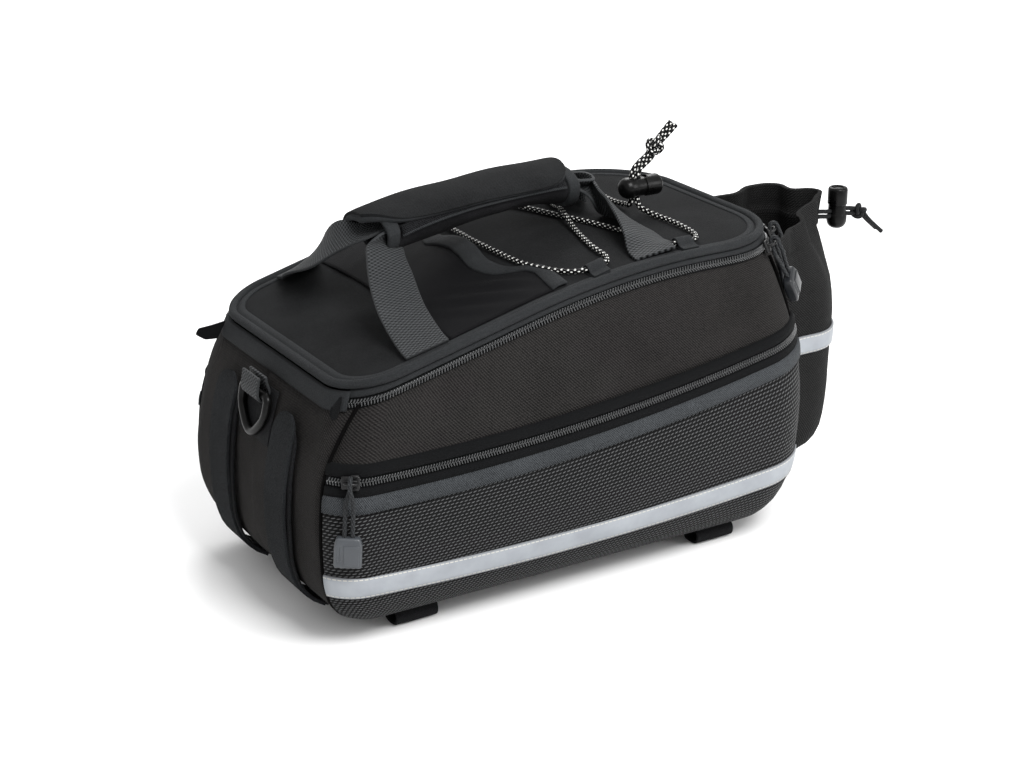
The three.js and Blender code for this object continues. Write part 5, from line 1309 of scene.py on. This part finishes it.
def build_lid_pocket():
    half = LID_HALF - 1.5
    outs = np.linspace(-0.98, 0.98, 60)
    shares = np.linspace(0, 1, 26)
    grid = []
    for share in shares:
        row = []
        for out in outs:
            x = blend(POCKET_FRONT, MOUTH(abs(out)) + 1.5, share)
            y = out * half
            held = 1 - share**5
            swell = 1.3 * math.sin(share * math.pi * 0.8) * (1 - out * out) * held
            pull = math.exp(-(((abs(out) - 0.7) / 0.2) ** 2))
            slant = math.sin(y * 0.42 - x * 0.34 * math.copysign(1, y))
            folds = 0.8 * pull * slant * math.sin(math.pi * share**1.4)
            rise = MOUTH_RISE(abs(out)) * share**2.2
            row.append(lid_point(x, y, 0.9 + rise + max(swell + folds, -0.2)))
        grid.append(row)
    panel = cloth_sheet("stretch_panel", np.array(grid), flip=True)
    thicken(panel, 0.9)
    finished(panel, STRETCH, ["lid_pocket"])
    edge = [[lid_point(MOUTH(abs(out)) + across * MOUTH_TAPE(abs(out)), out * half,
                       lift + MOUTH_RISE(abs(out))) for out in outs]
            for across, lift in ((-0.12, 1.0), (-0.08, 2.1), (0.3, 2.5), (0.7, 2.5), (0.96, 2.1), (1.0, 0.8))]
    bound = cloth_sheet("stretch_binding", np.array(edge), flip=True)
    thicken(bound, 1.2)
    finished(bound, BINDING, ["lid_pocket_binding"])


build_lid_pocket()


# Bottle pocket

BOTTLE_WIDTH = 78.0
BOTTLE_FLOOR = 13.0
BOTTLE_RIM = 149.3
RIM_LIFT = 6.5
FOOT = Profile([(0, 1), (0.04, 0.5), (0.12, 0.18), (0.3, 0), (1, 0)])
GATHER = Profile([(0, 0), (0.3, 0), (0.6, 0.15), (0.82, 0.5), (0.94, 1), (1, 1)])


# The gathered rim's plan: from the bag's near side out to the cord, and back on the far side
GATHERED_RIM = smooth_path([(150.2, -39, 144), (163, -32.5, 146), (180, -20, 149), (191, -12, 151.5),
                            (201.5, -7.5, 154), (208.6, -2.5, 156), (207.5, 5, 156.5), (201.5, 14, 156),
                            (196, 24, 156.5), (184, 29, 155.5), (168, 33, 152), (150.2, 38, 149)], 200)
TOP_SHARE = Profile([(0, 0), (0.55, 0), (0.7, 0.1), (0.82, 0.42), (0.92, 0.82), (1, 1)])


def pocket_point(share, rise):
    foot = 12 * FOOT(rise)
    half = BOTTLE_WIDTH / 2 - foot * 0.5
    corner = 27.0
    depth = BOTTLE_DEPTH - foot
    straight, flat = depth - corner, half - corner
    arc = corner * math.pi / 2
    total = (straight + arc + flat) * 2
    run = share * total
    mirrored = run > total / 2
    if mirrored:
        run = total - run
    out, y = run, -half
    if run > straight + arc:
        out, y = depth, -flat + (run - straight - arc)
    elif run > straight:
        turn = (run - straight) / corner
        out = straight + corner * math.sin(turn)
        y = -half + corner * (1 - math.cos(turn))
    lift = RIM_LIFT * max(rise * 2 - 1, 0) * out / BOTTLE_DEPTH
    z = blend(BOTTLE_FLOOR, BOTTLE_RIM, rise) + lift
    reach = clamp(out / (BOTTLE_DEPTH * 0.6), 0, 1)
    x = blend(wall_shape(min(z / REAR_HEIGHT, 1))[1], BELLY[1], reach) + BOTTLE_SEAT + out
    plain = np.array([x, -y if mirrored else y, z])
    top = GATHERED_RIM[int(round(share * 199))]
    top = np.array([top[0], top[1], blend(BOTTLE_FLOOR, top[2], rise)])
    return blend(plain, top, TOP_SHARE(rise))


def pocket_folds(share, rise):
    """Broad folds that the drawcord gathers at the rim and that fade out below it."""
    swing = min(math.sin(math.pi * share) * 2, 1)
    folds = (1.9 * math.cos(share * math.tau * 4 + 0.8) + 1.0 * math.cos(share * math.tau * 7.3 + 2.0)
             + 0.3 * math.sin(share * math.tau * 13))
    pull = 2.4 * math.exp(-((share - 0.47) / 0.035) ** 2) * math.exp(-((rise - 0.9) / 0.12) ** 2)
    slack = 0.9 * math.sin(rise * 7 + share * 9) * math.sin(math.pi * rise)
    return (folds * GATHER(rise) + slack - pull) * swing


def build_bottle_pocket():
    shares = np.linspace(0, 1, 120)
    rises = [0.0, 0.01, 0.025, 0.05, 0.09, 0.14, 0.2, 0.27, 0.35, 0.43, 0.51, 0.59, 0.66, 0.72, 0.77, 0.82,
             0.86, 0.885, 0.895, 0.905, 0.93, 0.955, 0.975, 0.99, 1.0]
    grid = []
    for rise in rises:
        line = np.array([pocket_point(s, rise) for s in shares])
        tangents = np.gradient(line, axis=0)
        row = []
        hem = 0.9 if rise > 0.9 else -0.5 * math.exp(-(((rise - 0.89) / 0.012) ** 2))
        for s, point, tangent in zip(shares, line, tangents):
            out = unit(np.array([tangent[1], -tangent[0], 0]))
            ends = clamp(min(s, 1 - s) * 25, 0, 1)
            row.append(point + out * (pocket_folds(s, rise) + hem) * ends)
        grid.append(row)
    grid = np.array(grid)
    middle = np.array([grid[0][:, 0].mean(), 0, BOTTLE_FLOOR])
    floor = [blend(middle, grid[0], s) for s in (0.02, 0.3, 0.6, 0.85)]
    back = []
    for row in [*floor, *grid]:
        first, last = row[0], row[-1]
        ys = np.linspace(last[1], first[1], 14)[1:-1]
        behind = np.array([[blend(last[0], first[0], k / 13), y, blend(last[2], first[2], k / 13)]
                           for k, y in enumerate(ys, 1)])
        back.append(np.concatenate([row, behind]))
    pocket = cloth_sheet("bottle_holder", np.array(back), wrap=True)
    merge(pocket, 0.01)
    thicken(pocket, 2.4)
    soften(pocket, 0.7, 2, 60)
    finished(pocket, TWILL_DARK, ["bottle_pocket"])


def build_bottle_band():
    shares = np.linspace(0.03, 0.97, 90)
    lows = (75.0, 75.6, 78, 80.5, 83, 85.4, 86.0)
    outs = (0.3, 1.3, 1.4, 1.4, 1.4, 1.3, 0.3)
    grid = []
    for z, lift in zip(lows, outs):
        rise = (z - BOTTLE_FLOOR) / (BOTTLE_RIM - BOTTLE_FLOOR)
        line = np.array([pocket_point(s, rise) for s in shares])
        tangents = np.gradient(line, axis=0)
        row = []
        for s, point, tangent in zip(shares, line, tangents):
            out = unit(np.array([tangent[1], -tangent[0], 0]))
            row.append(point + out * (pocket_folds(s, rise) + lift))
        grid.append(row)
    band = cloth_sheet("bottle_band", np.array(grid))
    set_across(band, [(z - 80.5) / 5.5 for z in lows], len(shares))
    thicken(band, 0.6)
    finished(band, SILVER, ["bottle_reflector"])


build_bottle_pocket()
build_bottle_band()


# Front end


def front_face(z):
    x = BELLY[0]
    for _ in range(4):
        x = wall_shape(min(z / rim_height(x), 1))[0]
    return x


def front_point(y, z, out):
    slope = (front_face(z + 1) - front_face(z - 1)) / 2
    return np.array([front_face(z), y, z]) + unit(np.array([-1, 0, slope])) * out


def front_band(name, middle, width, foot, top, out, wall, rounded=True):
    radius = width / 2
    crown = [top - radius * s for s in (0.8, 0.6, 0.42, 0.27, 0.15, 0.07, 0.02)]
    lows = list(np.linspace(foot, top - radius, 26)) + crown
    if not rounded:
        lows = list(np.linspace(foot, top, 14))
    grid = []
    for z in lows:
        left = top - z
        narrow = 1.0
        if rounded and left < radius:
            narrow = max(math.sqrt(max(1 - (1 - left / radius) ** 2, 0)), 0.12)
        wave = 0.5 * math.sin(z * 0.07 + middle)
        grid.append([front_point(middle + u * narrow * radius, z, out + wave * 0.6)
                     for u in np.linspace(-1, 1, 11)])
    band = cloth_sheet(name, np.array(grid))
    thicken(band, wall)
    soften(band, 0.3)
    return band


def build_front_straps():
    for label, middle in (("far", 34.0), ("near", -34.0)):
        hook = front_band(f"hook_strap_{label}", middle - 2.6, 22, 4, 98, 1.6, 1.2)
        finished(hook, HOOK, [f"front_hook_{label}"])
        strap = front_band(f"felt_strap_{label}", middle, 22, 4, 103, 2.9, 1.7)
        finished(strap, FELT, [f"front_strap_{label}"])
    patch = front_band("hook_patch", 0, 35, 80, 107.5, 1.4, 0.8, rounded=False)
    finished(patch, HOOK, ["front_patch"])


build_front_straps()

# Hard pieces: locks, sliders, pulls and the ring


def turned(name, rows, sides=48):
    """A turned piece along Z: a disc that is extruded and resized from one (height, radius) to the next."""
    bpy.ops.object.select_all(action="DESELECT")
    start, radius = rows[0]
    bpy.ops.mesh.primitive_circle_add(vertices=sides, radius=radius * MM, fill_type="NGON",
                                      location=(0, 0, start * MM))
    obj = bpy.context.object
    obj.name = name
    bpy.ops.object.transform_apply(location=True, rotation=False, scale=False)
    bpy.ops.object.mode_set(mode="EDIT")
    bpy.ops.mesh.select_all(action="SELECT")
    for (z0, r0), (z1, r1) in zip(rows, rows[1:]):
        bpy.ops.mesh.extrude_region_move(TRANSFORM_OT_translate={"value": (0, 0, (z1 - z0) * MM)})
        bpy.ops.transform.resize(value=(r1 / r0, r1 / r0, 1), center_override=(0, 0, z1 * MM))
    bpy.ops.mesh.select_all(action="SELECT")
    bpy.ops.mesh.normals_make_consistent(inside=False)
    bpy.ops.object.mode_set(mode="OBJECT")
    return obj


def block(name, size, place=(0, 0, 0), round_edge=0.0, segments=3):
    """A block at its size and place, with rounded edges."""
    bpy.ops.object.select_all(action="DESELECT")
    bpy.ops.mesh.primitive_cube_add(size=1.0, location=tuple(v * MM for v in place))
    obj = bpy.context.object
    obj.name = name
    obj.scale = tuple(v * MM for v in size)
    bpy.ops.object.transform_apply(location=True, rotation=False, scale=True)
    if round_edge:
        apply_modifier(obj, "BEVEL", width=round_edge * MM, segments=segments, limit_method="NONE")
    return obj


def cut_out(obj, cutter):
    apply_modifier(obj, "BOOLEAN", operation="DIFFERENCE", object=cutter, solver="EXACT")
    bpy.data.objects.remove(cutter)


def settle(obj, matrix):
    """Moves a piece drawn at the origin to its place, in its mesh. The matrix is in millimetres."""
    places = Matrix([list(row) for row in matrix])
    places.translation = places.translation * MM
    obj.data.transform(places)
    if places.determinant() < 0:
        obj.data.flip_normals()
    return obj


def build_lock(name, start, axis, slot_way, knob_body):
    """A cord lock: a smooth barrel with a cord slot, and a sprung button with a dished end."""
    way, slot = np.array(axis, float), np.array(slot_way, float)
    frame_at = place_matrix(slot, np.cross(way, slot), way, start)
    barrel = turned(f"{name}_barrel", [
        (0.0, 0.6), (0.12, 1.8), (0.5, 3.1), (1.2, 4.2), (2.2, 5.0), (3.6, 5.6), (5.2, 5.8), (7.2, 5.7),
        (8.8, 5.3), (9.4, 5.1), (14.4, 5.1), (14.8, 5.0), (15.0, 4.8), (14.6, 4.45), (8.0, 4.4)])
    # The two strands lie one above the other along the barrel
    slot_cut = block("slot_cut", (14.0, 3.6, 7.2), (0, 0, LOCK_SLOT), 1.2)
    cut_out(barrel, slot_cut)
    soften(barrel, 0.25, 2, 55)
    crease_shading(barrel, 35)
    settle(barrel, frame_at)
    finished(barrel, BLACK_PLASTIC, [f"{name}_barrel"])
    knob = turned(f"{name}_button", [
        (13.4, 3.2), (13.7, 3.7), (14.0, 4.0), (18.6, 4.0), (18.7, 5.3), (14.6, 5.3), (14.3, 5.45),
        (14.5, 5.65), (18.0, 5.7), (22.8, 5.65), (23.6, 5.4), (24.1, 4.9), (24.35, 4.2), (24.2, 3.7),
        (23.4, 3.4), (23.2, 2.2), (23.1, 0.6)])
    # A notch in the stem and the sleeve lets the strands pass while the button is pressed
    cut_out(knob, block("notch_cut", (14.0, 3.7, 4.0), (0, 0, 14.4)))
    crease_shading(knob, 35)
    settle(knob, frame_at)
    finished(knob, BLACK_PLASTIC, [f"{name}_button"], knob_body)


PULL_CORD_THICK = 2.2
EYE_OUT = 2.0 + (PULL_CORD_THICK + CLEARANCE * 2) / 2
PULL_END = (13.5, 6.0, 15.5)


def seat_on_wall(side, station, height_at, out):
    """Where a slider sits: its seat, and the ways along the zip, out of the wall and down it."""
    step = 0.03
    seat = wall_point(side, station, height_at, out)
    away = unit(wall_point(side, station, height_at, out + 1) - seat)
    ahead = wall_point(side, station + step, height_at, out)
    behind = wall_point(side, station - step, height_at, out)
    along = ahead - behind
    along = unit(along - away * np.dot(along, away))
    across = np.cross(along, away)
    return seat, along, away, across * (-1 if across[2] > 0 else 1)


def build_slider(name, node, placed):
    seat, along, away, _ = placed
    plate = block(f"{name}_plate", (9.0, 1.7, 6.6), (0, 1.15, 0), 0.75)
    nose = block(f"{name}_nose", (4.2, 1.9, 8.0), (2.0, 1.05, 0), 0.9)
    hump = block(f"{name}_hump", (6.4, 1.4, 3.0), (0, 2.1, 0), 0.6)
    arch = smooth_path([(-3.0, 1.6, 0), (-2.9, 3.6, 0), (-2.0, 5.1, 0), (0, 5.6, 0), (2.0, 5.1, 0),
                        (2.9, 3.6, 0), (3.0, 1.6, 0)], 26)
    bridge = tube(f"{name}_bridge", arch, 0.75, 10)
    slider = joined(name, [plate, nose, hump, bridge])
    crease_shading(slider, 40)
    settle(slider, place_matrix(along, away, np.cross(along, away), seat))
    finished(slider, SLIDER_METAL, [node])


def build_pull(name, node, placed, down, hang, plastic):
    """A loop of thin cord through the slider's bridge, with a moulded end."""
    seat, along, away, lie = placed
    eye = seat + away * EYE_OUT
    radius = PULL_CORD_THICK / 2
    spread = radius + 0.8
    over = (PULL_CORD_THICK + CLEARANCE * 2) / 2 + 1.2 + CLEARANCE + radius
    wide = unit(along - down * np.dot(along, down))

    def place(across, low, out, way):
        return eye + along * across + way * low + away * out

    def strand(sign, out):
        return [place(0, hang * s, blend(over * 0.5, out, 1 - s), down) + wide * sign * spread
                for s in (1.06, 0.7, 0.4)]

    turn = [place(0, -1.2 - over / 2 * math.sin(a), over / 2 * (1 - math.cos(a)), lie)
            for a in (math.pi / 4, math.pi / 2, math.pi * 3 / 4)]
    route = [*strand(-1, 0), place(-spread * 0.55, 6, 0.2, lie), place(0, 2.2, 0, lie),
             place(0, -1.2, 0, lie), *turn, place(0, -1.2, over, lie), place(0, 2.2, over, lie),
             place(spread * 0.55, 6, over, lie), *strand(1, over)[::-1]]
    line = smooth_path(route, 110)
    cord = finished(tube(f"{name}_cord", line, radius, 12), PULL_CORD, [f"{node}_cord"])
    width, thick, length = PULL_END
    end = block(f"{name}_end", PULL_END, (0, 0, -length / 2), 0.0)
    bpy.ops.object.mode_set(mode="EDIT")
    bpy.ops.mesh.select_all(action="SELECT")
    bpy.ops.mesh.subdivide(number_cuts=3)
    bpy.ops.object.mode_set(mode="OBJECT")
    for vertex in end.data.vertices:
        low = -vertex.co.z / MM / length
        vertex.co.x *= 0.84 + 0.16 * min(low / 0.26, 1)
        vertex.co.y *= 0.78 + 0.22 * min(low / 0.26, 1) - 0.24 * max(low - 0.74, 0) / 0.26
    apply_modifier(end, "BEVEL", width=1.1 * MM, segments=3, limit_method="ANGLE",
                   angle_limit=math.radians(40))
    trims = [end]
    for face in (-1, 1):
        y = face * (thick / 2 - 0.05)
        trims.append(block(f"{name}_panel", (width * 0.56, 0.9, length * 0.66),
                           (width * 0.13, y, -length * 0.55), 0.42))
        for x in (-0.36, -0.27):
            trims.append(block(f"{name}_rib", (0.7, 0.7, length * 0.5), (width * x, y, -length * 0.52), 0.3))
    end = joined(f"{name}_end", trims)
    crease_shading(end, 45)
    middle = place(0, hang + CLEARANCE - 0.6, over * 0.5, down)
    settle(end, place_matrix(wide, np.cross(wide, down), -down, middle))
    finished(end, plastic, [f"{node}_end"])


def hang_way(placed, side, station, height_at, drop, stand):
    seat, _, away, _ = placed
    low = wall_point(side, station, lambda x: height_at(x) - drop, stand)
    return unit(low - (seat + away * EYE_OUT))


def chain_line(x):
    return rim_height(x) - CHAIN_DROP


def build_sliders():
    for side, label, station in ((NEAR, "near", 1.7), (FAR, "far", 3.3)):
        out = 0.5 + 1.2 * 1.2 + CLEARANCE
        placed = seat_on_wall(side, station, pocket_line, out)
        build_slider(f"side_slider_{label}", f"pocket_slider_{label}", placed)
        down = hang_way(placed, side, station, pocket_line, 27 + PULL_END[2], out + PULL_END[1] / 2 - 0.5)
        build_pull(f"side_pull_{label}", f"pocket_pull_{label}", placed, down, 27, GREY_PLASTIC)
    # The lid pulls' ends use the grey plastic painted darker as painted shade
    for label, station, lean, hang, stand in (("a", 3.42, 0.3, 25, 5), ("b", 3.76, 0.25, 22, 6)):
        placed = seat_on_wall(NEAR, station, chain_line, 1.3 + CLEARANCE)
        build_slider(f"top_slider_{label}", f"lid_slider_{label}", placed)
        down = hang_way(placed, NEAR, station + lean, chain_line, hang + PULL_END[2], stand)
        build_pull(f"top_pull_{label}", f"lid_pull_{label}", placed, down, hang, SHADED_GREY_PLASTIC)


def build_ring():
    """The rounded triangle of the ring, hanging from its webbing loop and leaning on the wall."""
    lean = math.asin(clamp((RING_PIVOT[0] + 150.1) / 27.0, 0, 1))
    half = [(0, 0), (7, 0), (12.0, 0.2), (14.0, 1.6), (14.2, 4.6), (13.9, 8.6), (12.0, 12.6), (8.4, 16.8),
            (4.2, 20.4), (0, 21.8)]
    flat = half + [(-y, d) for y, d in half[1:-1][::-1]]
    line = [(y, 0, -d) for y, d in flat]
    line = smooth_path(line + line[:3], 126)[6:-8]
    points = [[RING_PIVOT[0] - math.sin(lean) * -z, y, RING_PIVOT[2] + math.cos(lean) * z]
              for y, _, z in line]
    ring = tube("tri_ring_wire", even_path(np.array(points + [points[0]]), 110)[:-1], 2.3, 16, closed=True)
    finished(ring, BLACK_PLASTIC, ["tri_ring"], "ring")


def ribbon_sheet(name, line, width, wall, centre):
    """Webbing that follows a line drawn in one plane, with its width along the other way."""
    line = even_path(np.array(line, float), 60)
    halves = np.linspace(-width / 2, width / 2, 9)
    grid = [[point + np.array(centre) * u for u in halves] for point in line]
    band = cloth_sheet(name, np.transpose(np.array(grid), (1, 0, 2)))
    thicken(band, wall, 0.0)
    soften(band, 0.3)
    return band


def build_ring_loop():
    x, _, z = RING_PIVOT
    wave = [(-2.0, 9.2), (-2.6, 6.0), (-3.3, 1.5), (-3.0, -1.6), (-1.2, -3.2), (1.2, -3.2), (3.0, -1.6),
            (3.2, 1.5), (2.2, 5.5), (1.6, 9.2)]
    line = smooth_path([(x + dx, 0, z + dz) for dx, dz in wave], 60)
    loop = ribbon_sheet("ring_webbing", line, 19, 1.4, (0, 1, 0))
    finished(loop, WEBBING, ["ring_loop"])


def build_loop_tab(side, label, middle, node):
    """A flat tape folded round the bungee cord at the lid's edge."""
    cord_y = LOOP_Y
    path = [(LID_HALF + 1, 0.7), (cord_y + 3, 0.6), (cord_y, 0.35), (cord_y - 1.8, 0.9),
            (cord_y - 2.4, 2.4), (cord_y - 1.5, 4.0), (cord_y + 0.3, 4.5), (cord_y + 2.4, 3.4),
            (cord_y + 4.2, 2.0), (LID_HALF + 1, 1.7)]
    line = smooth_path([lid_point(middle, side * y, lift) for y, lift in path], 60)
    across = unit(np.array([1.0, 0, LID_SLOPE * (middle < 20)]))
    tab = ribbon_sheet(f"lacing_tab_{label}", line, 10, 0.9, across)
    finished(tab, BINDING, [node])


def build_rack_strap(name, node, middle):
    """Webbing sewn under the base, folded into a short loop at each side."""
    right = [(50.5, -2.2), (53.5, -5.0), (56.5, -8.2), (59.5, -9.0), (63.5, -8.9), (67.0, -7.8),
             (68.1, -5.2), (67.6, -2.6), (65.2, -1.2), (58, -1.1), (40, -1.15)]
    line = right + [(-y, z) for y, z in right[::-1]]
    path = smooth_path([(middle, y, z) for y, z in line], 150)
    halves = np.linspace(-12, 12, 9)
    grid = [[p + np.array([u, 0, 0.15 * math.sin(p[1] * 0.2 + u * 0.15)]) for u in halves] for p in path]
    strap = cloth_sheet(name, np.transpose(np.array(grid), (1, 0, 2)))
    thicken(strap, 1.3, 0.0)
    soften(strap, 0.3)
    finished(strap, FELT_DARK, [node])


def soft_copy(name, node, material):
    """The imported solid's form with its edges softened, as folded cloth."""
    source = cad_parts[node]
    copy = bpy.data.objects.new(name, source.data.copy())
    bpy.context.scene.collection.objects.link(copy)
    work = bmesh.new()
    work.from_mesh(copy.data)
    bmesh.ops.remove_doubles(work, verts=work.verts, dist=0.02 * MM)
    bmesh.ops.recalc_face_normals(work, faces=work.faces)
    layer = work.loops.layers.uv.verify()
    for face in work.faces:
        for loop in face.loops:
            loop[layer].uv = (loop.vert.co.x + loop.vert.co.y, loop.vert.co.z)
    work.to_mesh(copy.data)
    work.free()
    copy.data.uv_layers[0].name = "UVMap"
    soften(copy, 0.8, 3, 20)
    refine(copy, 2)
    copy.data.shade_smooth()
    return finished(copy, material, [node])


RING_PIVOT = (-144.95, 0.0, 105.0)
build_lock("lid_lock", LID_LOCK, (1, 0, 0), (0, 0, 1), "lid_lock_plunger")
build_lock("bottle_lock", BOTTLE_LOCK, (0, 0, 1), (1, 0, 0), "bottle_lock_plunger")
build_sliders()
build_ring()
build_ring_loop()
for side, label in SIDES:
    build_loop_tab(side, f"front_{label}", 12, f"cord_loop_front_{label}")
    build_loop_tab(side, f"rear_{label}", 66, f"cord_loop_rear_{label}")
    soft_copy(f"zip_end_fold_{label}", f"zip_end_tab_{label}", TAPE)
build_rack_strap("rack_webbing_front", "rack_strap_front", -92)
build_rack_strap("rack_webbing_rear", "rack_strap_rear", 94)


# Floor and light


def build_floor():
    bpy.ops.object.select_all(action="DESELECT")
    bpy.ops.mesh.primitive_plane_add(size=8.0, location=(0, 0, -0.0101))
    floor = bpy.context.object
    floor.name = "studio_floor"
    bpy.ops.object.transform_apply(location=True, rotation=False, scale=False)
    material, w, shader = new_material("Studio floor", 0.9, 0.0, 0.1)
    place = w.node("ShaderNodeTexCoord").outputs["Object"]
    tone = w.spread(w.noise(place, 3.0, 2.0), 0.3, 0.7, 0.0, 1.0)
    w.link(w.mix(tone, srgb(243, 243, 243), srgb(246, 246, 246)), shader.inputs["Base Color"])
    floor.data.materials.append(material)


def area_light(name, place, aim, size, power, color=(1, 1, 1)):
    data = bpy.data.lights.new(name, "AREA")
    data.shape = "RECTANGLE"
    data.size, data.size_y = size
    data.energy = power
    data.color = color
    lamp = bpy.data.objects.new(name, data)
    bpy.context.scene.collection.objects.link(lamp)
    lamp.location = place
    lamp.rotation_mode = "QUATERNION"
    lamp.rotation_quaternion = (Vector(aim) - Vector(place)).to_track_quat("-Z", "Y")


def build_light():
    world = bpy.data.worlds.new("Studio")
    bpy.context.scene.world = world
    world.use_nodes = True
    background = world.node_tree.nodes["Background"]
    background.inputs["Color"].default_value = (1, 1, 1, 1)
    background.inputs["Strength"].default_value = 0.75
    area_light("Key", (0.1, -1.15, 1.5), (0, 0, 0.08), (0.8, 0.8), 34)
    area_light("Rear", (0.7, 1.1, 1.3), (0, 0, 0.1), (0.9, 0.9), 20)
    area_light("Side", (1.1, -1.2, 0.7), (0, 0, 0.08), (0.7, 0.7), 9)
    bpy.context.scene.view_settings.view_transform = "Standard"


build_floor()
build_light()
